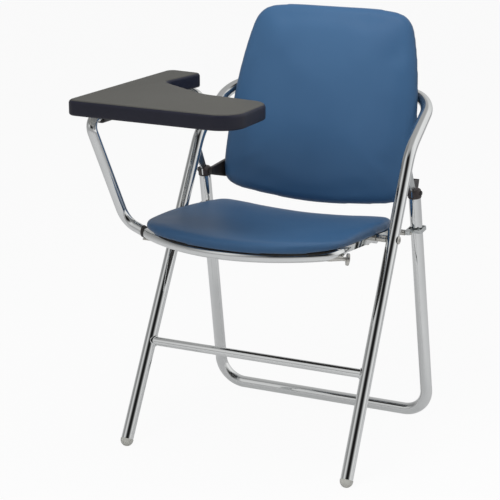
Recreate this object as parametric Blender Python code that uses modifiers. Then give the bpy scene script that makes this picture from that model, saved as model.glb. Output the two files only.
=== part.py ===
"""Folding conference chair with a writing tablet.

Chrome tube frames, a padded seat and back, and a board on a tube arm.
Metres, +Z up, the sitter looks along -Y, x = 0 is the middle of the seat.
"""
import math

import bpy
import bmesh
from mathutils import Matrix, Vector

# Clearances
GAP = 0.0003
RUNNING_GAP = 0.0004
SIDES = (-1, 1)

# Tubes and bends
LEG_TUBE_R = 0.0111
ARM_TUBE_R = 0.00955
RUNG_R = 0.00795
BEND_STEP = math.radians(13)

# Front frame: two leaning legs joined by a bar behind the back
FRONT_FOOT_HALF = 0.220
FRONT_FOOT_Y = -0.1917
FRONT_LEAN = math.radians(27.9)
FRONT_TOE_IN = math.radians(0.70)
SHOULDER_RISE = 0.147
SHOULDER_BEND_R = 0.050
BACK_BAR_HALF = 0.2070
BACK_BAR_BACK = 0.129785
BACK_BAR_RISE = 0.0790
BACK_BAR_BEND_R = 0.045
RUNG_HEIGHT = 0.177

# Front foot caps
FOOT_CAP_R = 0.0135
FOOT_CAP_LENGTH = 0.027
FOOT_TUBE_START = 0.0125

# Rear frame: a U that stands on its lower bar
REAR_BAR_Y = 0.1917
REAR_BAR_OUT = 0.001
REAR_PIVOT_DROP = 0.082
REAR_PIVOT_BACK = 0.063226
REAR_TOE_IN = math.radians(0.64)
REAR_BEND_R = 0.048
REAR_TUBE_OVER_PIVOT = 0.006
REAR_CAP_WALL = 0.0013
REAR_CAP_DROP = 0.0120
REAR_CAP_TOP = 0.0025

# Gusset plates behind the front legs, which carry the rear frame
GUSSET_THICKNESS = 0.003
GUSSET_EYE_R = 0.0065
GUSSET_FOOT_LOW = 0.010
GUSSET_FOOT_HIGH = 0.039
GUSSET_SLOT_CLEAR = 0.0006
PIN_R = 0.0035
PIN_HEAD_R = 0.0046
PIN_HEAD_HEIGHT = 0.0016

# Back rest
BACK_LEAN = math.radians(16.0)
BACK_MID_AHEAD = 0.0310
BACK_MID_DROP = 0.0150
BACK_PAD_FRONT = 0.014
BACK_PAD_REAR = 0.007
BACK_PAD_CROWN = 0.006
BACK_BOARD_INSET = 0.013
BACK_BOARD_THICKNESS = 0.005
BACK_SIDE_GAP = 0.0020
BACK_OUTLINE = ((0.000, 0.1715), (0.108, 0.1720), (0.156, 0.159), (0.173, 0.105), (0.187, 0.020), (0.1925, -0.060),
                (0.1945, -0.145), (0.183, -0.183), (0.105, -0.1935), (0.000, -0.202))
BRACKET_INSET = 0.013408
BRACKET_THICKNESS = 0.0061
BRACKET_EYE_R = 0.008
BRACKET_FLANGE_END_X = 0.140
BRACKET_FLANGE_THICKNESS = 0.003
BRACKET_FLANGE_HALF = 0.017
BRACKET_FLANGE_RISE = 0.0
BACK_CLIP_X = 0.090
BACK_CLIP_WIDTH = 0.022
BACK_CLIP_WALL = 0.0032
BACK_CLIP_FOOT_HALF = 0.021
BACK_CLIP_FOOT_THICKNESS = 0.005
BACK_CLIP_SCREW_V = 0.0165

# Seat, which tilts back about its pivot on the front legs
SEAT_PIVOT_HEIGHT = 0.393
SEAT_TILT = math.radians(4.5)
SEAT_BAR_OVERHANG = 0.0175
SEAT_BAR_END_AHEAD = 0.153383
SEAT_BAR_BOW = 0.073
SEAT_BAR_LEFT_SHORT = 0.0205
SEAT_BAR_RISE = 0.0006
SEAT_BAR_POINTS = 18
RAIL_INSET = 0.034198
RAIL_THICKNESS = 0.008
RAIL_HEIGHT = 0.011
RAIL_EYE_R = 0.0105
GUIDE_PIN_AHEAD = 0.023041
GUIDE_PIN_DROP = 0.002137
CROSS_RAIL_AHEAD = 0.0355
CROSS_RAIL_WIDTH = 0.018
CROSS_RAIL_HEIGHT = 0.008
SEAT_BOARD_THICKNESS = 0.004
SEAT_BOARD_INSET = 0.006
SEAT_PAD_DEPTH = 0.0190
SEAT_PAD_CROWN = 0.0015
SEAT_DISH = 0.0115
SEAT_SIDE_GAP = 0.0071
SEAT_OUTLINE = ((0.000, -0.243), (0.105, -0.236), (0.168, -0.209), (0.197, -0.150), (0.1945, -0.055),
                (0.188, 0.045), (0.176, 0.103), (0.090, 0.107), (0.000, 0.106))
SEAT_SCREW_PLACES = (-0.140, -0.034)
BOLT_R = 0.004
BOLT_HEAD_R = 0.0082
BOLT_HEAD_HEIGHT = 0.0042
SEAT_BOLT_NUT_R = 0.0049
SPACER_R = 0.0064
BAR_END_CONE_R = 0.0092
BAR_END_CONE_LENGTH = 0.010
BAR_END_PIN_R = 0.0036
BAR_END_PIN_LENGTH = 0.018
BAR_END_RING_R = 0.0098
BAR_END_RING_THICKNESS = 0.004

# Guides: loops at the back of the seat that slide on the rear legs
GUIDE_WALL = 0.0018
GUIDE_HEIGHT = 0.010
GUIDE_FRONT_PLAY = 0.0026
GUIDE_OUTER_PLAY = 0.0019
GUIDE_PIN_EDGE = 0.005659
GUIDE_TONGUE = 0.011
GUIDE_BOLT_R = 0.003
GUIDE_CORNER_R = 0.004

# Tablet arm
ARM_RUN_X = -0.286
ARM_RUN_RISE = 0.034348
ARM_FRONT_Y = -0.184
ARM_FRONT_BEND_R = 0.020
ARM_PIVOT_BACK = 0.043785
ARM_PIVOT_OFFSET = 0.0241
ARM_REAR_BEND_R = 0.021
ARM_END_DROP = 0.014
ARM_KNEE_X = -0.2492
ARM_KNEE_BACK = 0.011263
ARM_KNEE_RISE = 0.0140
ARM_KNEE_BEND_R = 0.036
ARM_FOOT_OUT = 0.0010
ARM_TIP_R = 0.0101
ARM_TIP_THICKNESS = 0.004
ARM_TIP_CLEAR = 0.0008
CRADLE_THICKNESS = 0.003
CRADLE_WIDTH = 0.014
CRADLE_LENGTH = 0.0205
CRADLE_WALL_HEIGHT = 0.010
STUB_R = 0.00635
STUB_Y = -0.080
STUB_LENGTH = 0.100
BUMPER_R = 0.0055
BUMPER_SETBACK = 0.012

# Tablet board and its hinge clips
TABLET_THICKNESS = 0.0265
TABLET_TOP_SHEET = 0.0012
TABLET_TOP_INSET = 0.004
TABLET_EDGE_R = 0.0035
TABLET_LIFT = 0.0030
TABLET_CORNERS = (((-0.302, -0.224), 0.022), ((-0.302, 0.146), 0.018), ((-0.232, 0.135), 0.008),
                  ((-0.247, 0.020), 0.030), ((-0.118, -0.062), 0.120), ((0.030, -0.085), 0.040),
                  ((0.036, -0.237), 0.045))
CLIP_YS = (-0.131, 0.075)
CLIP_LENGTH = 0.026
CLIP_WALL = 0.0030
CLIP_FLANGE_END = 0.030
CLIP_FLANGE_THICKNESS = 0.0048
CLIP_SCREW_IN = 0.0215
CLIP_SCREW_HALF_PITCH = 0.0075

# Screws
SCREW_R = 0.0018
SCREW_HEAD_R = 0.0038
SCREW_HEAD_HEIGHT = 0.0022
SCREW_DEPTH = 0.0040

ROUND_SIDES = 20
SMALL_SIDES = 14

for old in list(bpy.data.objects):
    bpy.data.objects.remove(old, do_unlink=True)

parts = bpy.data.collections.new("conference_chair")
cutters = bpy.data.collections.new("chair_cutters")
bpy.context.scene.collection.children.link(parts)
bpy.context.scene.collection.children.link(cutters)


def finish(name, colour, roughness, metallic):
    """A Principled material for one finish of the chair."""
    material = bpy.data.materials.new(name)
    material.use_nodes = True
    shader = material.node_tree.nodes["Principled BSDF"]
    shader.inputs["Base Color"].default_value = (*colour, 1.0)
    shader.inputs["Roughness"].default_value = roughness
    shader.inputs["Metallic"].default_value = metallic
    return material


CHROME = finish("chrome_tube", (0.78, 0.79, 0.78), 0.12, 1.0)
ZINC = finish("zinc_fastener", (0.62, 0.62, 0.60), 0.35, 1.0)
BLACK = finish("black_plastic", (0.018, 0.018, 0.020), 0.50, 0.0)
GREY = finish("grey_foot_plastic", (0.55, 0.55, 0.51), 0.55, 0.0)
VINYL = finish("blue_vinyl", (0.050, 0.125, 0.270), 0.48, 0.0)
PLYWOOD = finish("plywood_board", (0.30, 0.21, 0.13), 0.70, 0.0)
EDGING = finish("tablet_edging", (0.022, 0.022, 0.030), 0.50, 0.0)
LAMINATE = finish("tablet_laminate", (0.140, 0.135, 0.115), 0.55, 0.0)
RUBBER = finish("rubber", (0.030, 0.030, 0.030), 0.80, 0.0)


def empty(name, parent, place):
    """A body's frame, at its joint's axis. place is in the chair's frame."""
    frame = bpy.data.objects.new(name, None)
    frame.empty_display_size = 0.03
    parts.objects.link(frame)
    if parent is not None:
        frame.parent = parent
        frame["place"] = list(place)
        frame.location = Vector(place) - Vector(parent["place"])
    else:
        frame["place"] = list(place)
    return frame


def add_part(name, mesh, material, body):
    """A node whose mesh is in the chair's frame, carried by a body's empty."""
    mesh.name = name
    mesh.materials.clear()
    mesh.materials.append(material)
    mesh.shade_smooth()
    mesh.set_sharp_from_angle(angle=math.radians(35))
    part = bpy.data.objects.new(name, mesh)
    parts.objects.link(part)
    part.parent = body
    part.location = -Vector(body["place"])
    return part


def to_mesh(bm, name="shape"):
    """Weld a bmesh, point its faces outwards and hand it back as a mesh."""
    bmesh.ops.remove_doubles(bm, verts=bm.verts, dist=1e-6)
    bmesh.ops.recalc_face_normals(bm, faces=bm.faces)
    mesh = bpy.data.meshes.new(name)
    bm.to_mesh(mesh)
    bm.free()
    return mesh


def curve_mesh(curve):
    """The welded mesh of a curve."""
    source = bpy.data.objects.new("curve", curve)
    bpy.context.scene.collection.objects.link(source)
    depsgraph = bpy.context.evaluated_depsgraph_get()
    mesh = bpy.data.meshes.new_from_object(source.evaluated_get(depsgraph))
    bpy.data.objects.remove(source, do_unlink=True)
    bm = bmesh.new()
    bm.from_mesh(mesh)
    bpy.data.meshes.remove(mesh)
    return to_mesh(bm)


def rounded(corners, closed=False, step=BEND_STEP):
    """Points of a path whose corners (point, radius) are rounded to arcs."""
    points = []
    count = len(corners)
    for index, (corner, radius) in enumerate(corners):
        corner = Vector(corner)
        if radius == 0 or (not closed and index in (0, count - 1)):
            points.append(corner)
            continue
        before = (Vector(corners[index - 1][0]) - corner).normalized()
        after = (Vector(corners[(index + 1) % count][0]) - corner).normalized()
        turn = math.pi - before.angle(after)
        tangent = radius * math.tan(turn / 2)
        centre = corner + (before + after).normalized() * (radius / math.cos(turn / 2))
        start = corner + before * tangent - centre
        end = corner + after * tangent - centre
        steps = max(2, math.ceil(turn / step))
        axis = start.cross(end).normalized()
        for k in range(steps + 1):
            points.append(centre + Matrix.Rotation(turn * k / steps, 3, axis) @ start)
    return points


def tube_mesh(points, radius, resolution=4):
    """A round bar along a path, closed at both ends."""
    curve = bpy.data.curves.new("path", "CURVE")
    curve.dimensions = "3D"
    curve.bevel_depth = radius
    curve.bevel_resolution = resolution
    curve.use_fill_caps = True
    spline = curve.splines.new("POLY")
    spline.points.add(len(points) - 1)
    for target, point in zip(spline.points, points):
        target.co = (*point, 1.0)
    return curve_mesh(curve)


def plate_mesh(outlines, thickness, frame):
    """A flat plate from outlines (the later ones are holes), centred on its frame's XY plane."""
    curve = bpy.data.curves.new("outline", "CURVE")
    curve.dimensions = "2D"
    curve.fill_mode = "BOTH"
    curve.extrude = thickness / 2
    for outline in outlines:
        spline = curve.splines.new("POLY")
        spline.points.add(len(outline) - 1)
        spline.use_cyclic_u = True
        for target, point in zip(spline.points, outline):
            target.co = (point[0], point[1], 0.0, 1.0)
    mesh = curve_mesh(curve)
    mesh.transform(frame)
    return mesh


def box_mesh(low, high, frame=None):
    """A box between two corners."""
    low = Vector(low)
    high = Vector(high)
    bm = bmesh.new()
    bmesh.ops.create_cube(bm, size=1.0)
    size = Matrix.Diagonal((*(high - low), 1.0))
    bm.transform(Matrix.Translation((low + high) / 2) @ size)
    if frame is not None:
        bm.transform(frame)
    return to_mesh(bm)


def turned_mesh(profile, frame, sides=ROUND_SIDES):
    """A turned solid: profile points (radius, height), spun round the frame's Z axis."""
    bm = bmesh.new()
    verts = [bm.verts.new((radius, 0.0, height)) for radius, height in profile]
    edges = [bm.edges.new(pair) for pair in zip(verts, verts[1:])]
    bmesh.ops.spin(bm, geom=verts + edges, cent=(0, 0, 0), axis=(0, 0, 1), angle=math.tau, steps=sides,
                   use_merge=True)
    bm.transform(frame)
    return to_mesh(bm)


def along(point, direction, up=(0, 0, 1)):
    """A frame at a point, with Z along a direction."""
    z_axis = Vector(direction).normalized()
    x_axis = Vector(up).cross(z_axis)
    if x_axis.length < 1e-6:
        x_axis = Vector((1, 0, 0))
    x_axis.normalize()
    y_axis = z_axis.cross(x_axis)
    turn = Matrix((x_axis, y_axis, z_axis)).transposed().to_4x4()
    return Matrix.Translation(point) @ turn


def plane_frame(origin, x_axis, y_axis):
    """A frame whose X and Y axes are given."""
    x_axis = Vector(x_axis).normalized()
    y_axis = Vector(y_axis).normalized()
    turn = Matrix((x_axis, y_axis, x_axis.cross(y_axis))).transposed().to_4x4()
    return Matrix.Translation(origin) @ turn


def rod_mesh(start, end, radius, sides=ROUND_SIDES):
    """A plain cylinder between two points."""
    length = (Vector(end) - Vector(start)).length
    profile = ((0, 0), (radius, 0), (radius, length), (0, length))
    return turned_mesh(profile, along(start, Vector(end) - Vector(start)), sides)


def joined(meshes):
    """Several meshes in one, each still its own body."""
    bm = bmesh.new()
    for mesh in meshes:
        bm.from_mesh(mesh)
        bpy.data.meshes.remove(mesh)
    mesh = bpy.data.meshes.new("group")
    bm.to_mesh(mesh)
    bm.free()
    return mesh


def helper(name, mesh, body):
    """A hidden cutter or joining shape in the chair's frame."""
    tool = bpy.data.objects.new(name, mesh)
    cutters.objects.link(tool)
    tool.parent = body
    tool.location = -Vector(body["place"])
    tool.hide_render = True
    tool.display_type = "WIRE"
    return tool


def combine(part, tool, operation="DIFFERENCE"):
    """Cut a part with a helper, or join the two."""
    modifier = part.modifiers.new(tool.name, "BOOLEAN")
    modifier.operation = operation
    modifier.solver = "EXACT"
    modifier.object = tool


def mirrored(points):
    """A whole outline from the half at x >= 0, which runs from top to bottom."""
    left = [(-x, y) for x, y in reversed(points[1:-1])]
    return [tuple(point) for point in points] + left


def fitted(points, half_width):
    """A half outline spread sideways so that its widest point is at a half width."""
    widest = max(x for x, _ in points)
    return [(x * half_width / widest, y) for x, y in points]


def smooth_outline(points, rounds=2):
    """Corner cutting: a control polygon becomes a smooth closed outline."""
    for _ in range(rounds):
        cut = []
        for (x0, y0), (x1, y1) in zip(points, points[1:] + points[:1]):
            cut.append((0.75 * x0 + 0.25 * x1, 0.75 * y0 + 0.25 * y1))
            cut.append((0.25 * x0 + 0.75 * x1, 0.25 * y0 + 0.75 * y1))
        points = cut
    return points


def inset_outline(outline, distance):
    """An outline moved inwards by a distance."""
    count = len(outline)
    area = sum(a[0] * b[1] - b[0] * a[1] for a, b in zip(outline, outline[1:] + outline[:1]))
    side = 1.0 if area > 0 else -1.0
    result = []
    for index, point in enumerate(outline):
        before = Vector(outline[index - 1])
        after = Vector(outline[(index + 1) % count])
        tangent = (after - before).normalized()
        inward = Vector((-tangent.y, tangent.x)) * side
        result.append(tuple(Vector(point) + inward * distance))
    return result


def padded_mesh(outline, sections, crown, frame, lift):
    """A thick shape from side sections (inset, height), closed above and below by smaller rings.

    crown is the rise of the upper face from its rim to the middle.
    lift(x, y) is added to every height, so that both faces can be dished.
    """
    bm = bmesh.new()
    middle = Vector((sum(x for x, _ in outline), sum(y for _, y in outline))) / len(outline)
    rings = [[(x, y, height) for x, y in inset_outline(outline, inset)] for inset, height in sections]

    def face(rim, rise):
        smaller = []
        for share in (0.90, 0.74, 0.52, 0.26):
            ring = [middle + (Vector((x, y)) - middle) * share for x, y, _ in rim]
            smaller.append([(place.x, place.y, rim[0][2] + rise * (1 - share ** 2)) for place in ring])
        return smaller

    low_height = sections[0][1]
    top_height = sections[-1][1] + crown
    rings = face(rings[0], 0.0)[::-1] + rings + face(rings[-1], crown)
    verts = [[bm.verts.new((x, y, z + lift(x, y))) for x, y, z in ring] for ring in rings]
    count = len(outline)
    for lower, upper in zip(verts, verts[1:]):
        for k in range(count):
            j = (k + 1) % count
            bm.faces.new((lower[k], lower[j], upper[j], upper[k]))
    for ring, height in ((verts[0], low_height), (verts[-1], top_height)):
        peak = bm.verts.new((middle.x, middle.y, height + lift(middle.x, middle.y)))
        for k in range(count):
            bm.faces.new((ring[k], ring[(k + 1) % count], peak))
    bm.transform(frame)
    return to_mesh(bm)


def bolt_mesh(inner, outer, radius, head_r, head_height, nut_r, centre, side):
    """A bolt along X from inner to outer, with a domed head at the outer end and a nut at the inner."""
    nut = head_height * 0.6
    profile = ((0, inner - nut), (nut_r, inner - nut), (nut_r, inner), (radius, inner),
               (radius, outer), (head_r, outer), (head_r, outer + head_height * 0.35),
               (head_r * 0.72, outer + head_height * 0.8), (0, outer + head_height))
    return turned_mesh(profile, along((0, centre[0], centre[1]), (side, 0, 0)), SMALL_SIDES)


def screw_mesh(point, direction, reach):
    """A pan-head screw whose head seats at a point and whose shank runs along a direction."""
    profile = ((0, -SCREW_HEAD_HEIGHT), (SCREW_HEAD_R * 0.7, -SCREW_HEAD_HEIGHT),
               (SCREW_HEAD_R, -SCREW_HEAD_HEIGHT * 0.4), (SCREW_HEAD_R, -GAP), (SCREW_R, -GAP),
               (SCREW_R, reach), (0, reach))
    return turned_mesh(profile, along(point, direction), SMALL_SIDES)


def fix_with_screws(name, places, body, targets):
    """Screws, and their holes in the pieces that they join."""
    holes = []
    for number, (point, direction, reach) in enumerate(places, 1):
        add_part(f"{name}_{number}", screw_mesh(point, direction, reach), ZINC, body)
        aim = Vector(direction).normalized()
        holes.append(rod_mesh(Vector(point) - aim * GAP, Vector(point) + aim * (reach + GAP), SCREW_R + GAP,
                              SMALL_SIDES))
    tool = helper(name + "_holes", joined(holes), body)
    for target in targets:
        combine(target, tool)


# Places that several pieces share

def front_leg(side, height):
    """A point on a front leg's axis."""
    x = FRONT_FOOT_HALF - math.tan(FRONT_TOE_IN) * height
    return Vector((side * x, FRONT_FOOT_Y + math.tan(FRONT_LEAN) * height, height))


shoulder_height = SEAT_PIVOT_HEIGHT + SHOULDER_RISE
rear_pivot_height = shoulder_height - REAR_PIVOT_DROP
rear_pivot_y = front_leg(1, rear_pivot_height).y + REAR_PIVOT_BACK
rear_slope = (REAR_BAR_Y - rear_pivot_y) / (rear_pivot_height - LEG_TUBE_R)


def rear_leg(side, height):
    """A point on a rear leg's axis."""
    rise = height - LEG_TUBE_R
    return Vector((side * (FRONT_FOOT_HALF + REAR_BAR_OUT - math.tan(REAR_TOE_IN) * rise), REAR_BAR_Y - rear_slope * rise, height))


shoulder = front_leg(1, shoulder_height)
back_bar = Vector((BACK_BAR_HALF, shoulder.y + BACK_BAR_BACK, shoulder.z + BACK_BAR_RISE))
arm_pivot = shoulder.lerp(back_bar, ARM_PIVOT_BACK / BACK_BAR_BACK)
arm_run_height = arm_pivot.z + ARM_RUN_RISE
rear_pivot = rear_leg(1, rear_pivot_height)
bracket_outer_x = rear_pivot.x - BRACKET_INSET
bracket_inner_x = bracket_outer_x - BRACKET_THICKNESS
seat_pivot = front_leg(1, SEAT_PIVOT_HEIGHT)
leg_up = Vector((0, math.sin(FRONT_LEAN), math.cos(FRONT_LEAN)))
leg_back = Vector((0, math.cos(FRONT_LEAN), -math.sin(FRONT_LEAN)))

seat_back = Vector((0, math.cos(SEAT_TILT), -math.sin(SEAT_TILT)))
seat_up = Vector((0, math.sin(SEAT_TILT), math.cos(SEAT_TILT)))

# The guide's pin is on the rails' line, a set distance in front of the rear legs' axis
rail_start = Vector((0, seat_pivot.y, seat_pivot.z)) - seat_up * GUIDE_PIN_DROP
leg_ahead = Vector((0, -1, -rear_slope)).normalized()
pin_now = (rail_start - Vector((0, rear_pivot.y, rear_pivot.z))).dot(leg_ahead)
guide_pivot = rail_start + seat_back * ((pin_now - GUIDE_PIN_AHEAD) / -seat_back.dot(leg_ahead))


rail_mid_x = seat_pivot.x - RAIL_INSET
seat_bar_half = rail_mid_x + SEAT_BAR_OVERHANG
arm_foot_x = -seat_bar_half - ARM_FOOT_OUT


def front_bar_y(x):
    """How far back the bowed front bar's axis is at a distance from the middle."""
    return seat_pivot.y - SEAT_BAR_END_AHEAD - SEAT_BAR_BOW * (1 - (x / seat_bar_half) ** 2)


bar_height = seat_pivot.z + SEAT_BAR_RISE
arm_corner = Vector((ARM_RUN_X, ARM_FRONT_Y, arm_run_height))
arm_foot = Vector((arm_foot_x, front_bar_y(arm_foot_x), bar_height))
arm_knee = Vector((ARM_KNEE_X, arm_foot.y + ARM_KNEE_BACK, bar_height + ARM_KNEE_RISE))
arm_tail = (arm_foot - arm_knee).normalized()

chair = empty("chair", None, (0, 0, 0))
front_frame = empty("front_frame", chair, (0, 0, 0))
rear_frame = empty("rear_frame", chair, (0, rear_pivot.y, rear_pivot.z))
seat = empty("seat", chair, (0, seat_pivot.y, seat_pivot.z))
guides = {side: empty("guide_frame", seat, guide_pivot) for side in SIDES}
tablet_arm = empty("tablet_arm", chair, (ARM_RUN_X, arm_pivot.y, arm_pivot.z))
tablet = empty("tablet", tablet_arm, (ARM_RUN_X, 0, arm_run_height))
SIDE_NAMES = {-1: "right_hand", 1: "left_hand"}


def make_front_frame():
    """The bent front frame, its rung and its foot caps."""
    path = []
    for side in SIDES:
        leg = (front_leg(side, 1) - front_leg(side, 0)).normalized()
        half = [(front_leg(side, 0) + leg * FOOT_TUBE_START, 0),
                (front_leg(side, shoulder_height), SHOULDER_BEND_R),
                (Vector((side * back_bar.x, back_bar.y, back_bar.z)), BACK_BAR_BEND_R)]
        path += half if side == SIDES[0] else half[::-1]
        cap_top = FOOT_CAP_LENGTH
        bore = LEG_TUBE_R + GAP
        profile = ((0, -FOOT_CAP_R), (FOOT_CAP_R, -FOOT_CAP_R), (FOOT_CAP_R, cap_top * 0.86),
                   (FOOT_CAP_R - 0.0008, cap_top), (bore, cap_top), (bore, FOOT_TUBE_START - GAP),
                   (0, FOOT_TUBE_START - GAP))
        cap = add_part("foot_cap_" + SIDE_NAMES[side],
                       turned_mesh(profile, along(front_leg(side, 0), leg)), GREY, front_frame)
        reach = 3 * FOOT_CAP_R
        foot = front_leg(side, 0)
        below = box_mesh(foot - Vector((reach, reach, reach)), foot + Vector((reach, reach, 0)))
        combine(cap, helper("floor_" + SIDE_NAMES[side], below, front_frame))
    frame_tube = add_part("front_frame_tube", tube_mesh(rounded(path), LEG_TUBE_R), CHROME, front_frame)
    rung = add_part("front_rung", rod_mesh(front_leg(-1, RUNG_HEIGHT), front_leg(1, RUNG_HEIGHT), RUNG_R), CHROME,
                    front_frame)
    for side in SIDES:
        cope = rod_mesh(front_leg(side, RUNG_HEIGHT - 4 * RUNG_R), front_leg(side, RUNG_HEIGHT + 4 * RUNG_R),
                        LEG_TUBE_R + GAP)
        combine(rung, helper("rung_cope_" + SIDE_NAMES[side], cope, front_frame))
    return frame_tube


def make_rear_frame():
    """The U-shaped rear frame, with a forked top and a plastic cap on each leg."""
    path = []
    for side in SIDES:
        up = (rear_leg(side, 1) - rear_leg(side, 0)).normalized()
        half = [(rear_leg(side, rear_pivot_height) + up * REAR_TUBE_OVER_PIVOT, 0),
                (rear_leg(side, LEG_TUBE_R), REAR_BEND_R)]
        path += half if side == SIDES[0] else half[::-1]
    frame_tube = add_part("rear_frame_tube", tube_mesh(rounded(path), LEG_TUBE_R), CHROME, rear_frame)
    cap_r = LEG_TUBE_R + GAP + REAR_CAP_WALL
    for side in SIDES:
        up = (rear_leg(side, 1) - rear_leg(side, 0)).normalized()
        pivot = rear_leg(side, rear_pivot_height)
        top = REAR_TUBE_OVER_PIVOT + GAP
        bore = LEG_TUBE_R + GAP
        profile = ((0, top), (bore, top), (bore, -REAR_CAP_DROP), (cap_r, -REAR_CAP_DROP), (cap_r, top),
                   (cap_r * 0.8, top + REAR_CAP_TOP * 0.8), (0, top + REAR_CAP_TOP))
        frame = along(pivot, up, (1, 0, 0))
        cap = add_part("rear_cap_" + SIDE_NAMES[side], turned_mesh(profile, frame), BLACK, rear_frame)
        slot_half = GUSSET_THICKNESS / 2 + GUSSET_SLOT_CLEAR
        offset = side * gusset_x - pivot.x
        slot_frame = plane_frame(pivot + Vector((offset, 0, 0)), (1, 0, 0), up.cross((1, 0, 0)))
        slot_reach = 2 * cap_r
        slot = box_mesh((-slot_half, -slot_reach, -GUSSET_EYE_R - GUSSET_SLOT_CLEAR),
                        (slot_half, slot_reach, slot_reach), slot_frame)
        slot_tool = helper("slot_" + SIDE_NAMES[side], slot, rear_frame)
        hole = rod_mesh((pivot.x - slot_reach, pivot.y, pivot.z), (pivot.x + slot_reach, pivot.y, pivot.z),
                        PIN_R + GAP, SMALL_SIDES)
        hole_tool = helper("pin_hole_" + SIDE_NAMES[side], hole, rear_frame)
        for piece in (frame_tube, cap):
            combine(piece, slot_tool)
            combine(piece, hole_tool)
    return cap_r


def make_gussets(cap_r):
    """Plates behind the front legs, and the pins that the rear frame turns on."""
    pivot_up = rear_pivot - front_leg(1, rear_pivot_height)
    eye_back = pivot_up.dot(leg_back)
    eye_up = pivot_up.dot(leg_up)
    foot_back = LEG_TUBE_R + GAP
    outline = [(foot_back, eye_up + GUSSET_FOOT_LOW), (foot_back, eye_up + GUSSET_FOOT_HIGH)]
    arc_steps = 10
    for k in range(arc_steps + 1):
        angle = math.pi / 2 - math.pi * k / arc_steps
        outline.append((eye_back + GUSSET_EYE_R * math.cos(angle), eye_up + GUSSET_EYE_R * math.sin(angle)))
    eye = [(eye_back + (PIN_R + GAP) * math.cos(math.tau * k / SMALL_SIDES),
            eye_up + (PIN_R + GAP) * math.sin(math.tau * k / SMALL_SIDES)) for k in range(SMALL_SIDES)]
    for side in SIDES:
        base = front_leg(side, rear_pivot_height)
        frame = plane_frame((side * gusset_x, base.y, base.z), leg_back, leg_up)
        add_part("gusset_" + SIDE_NAMES[side], plate_mesh((outline, eye), GUSSET_THICKNESS, frame), CHROME,
                 front_frame)
        outer = abs(rear_leg(side, rear_pivot_height).x) + cap_r + GAP
        pin = bolt_mesh(bracket_inner_x - GAP, outer, PIN_R, PIN_HEAD_R, PIN_HEAD_HEIGHT, PIN_HEAD_R,
                        (rear_pivot.y, rear_pivot.z), side)
        add_part("rear_leg_pin_" + SIDE_NAMES[side], pin, ZINC, front_frame)


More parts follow.
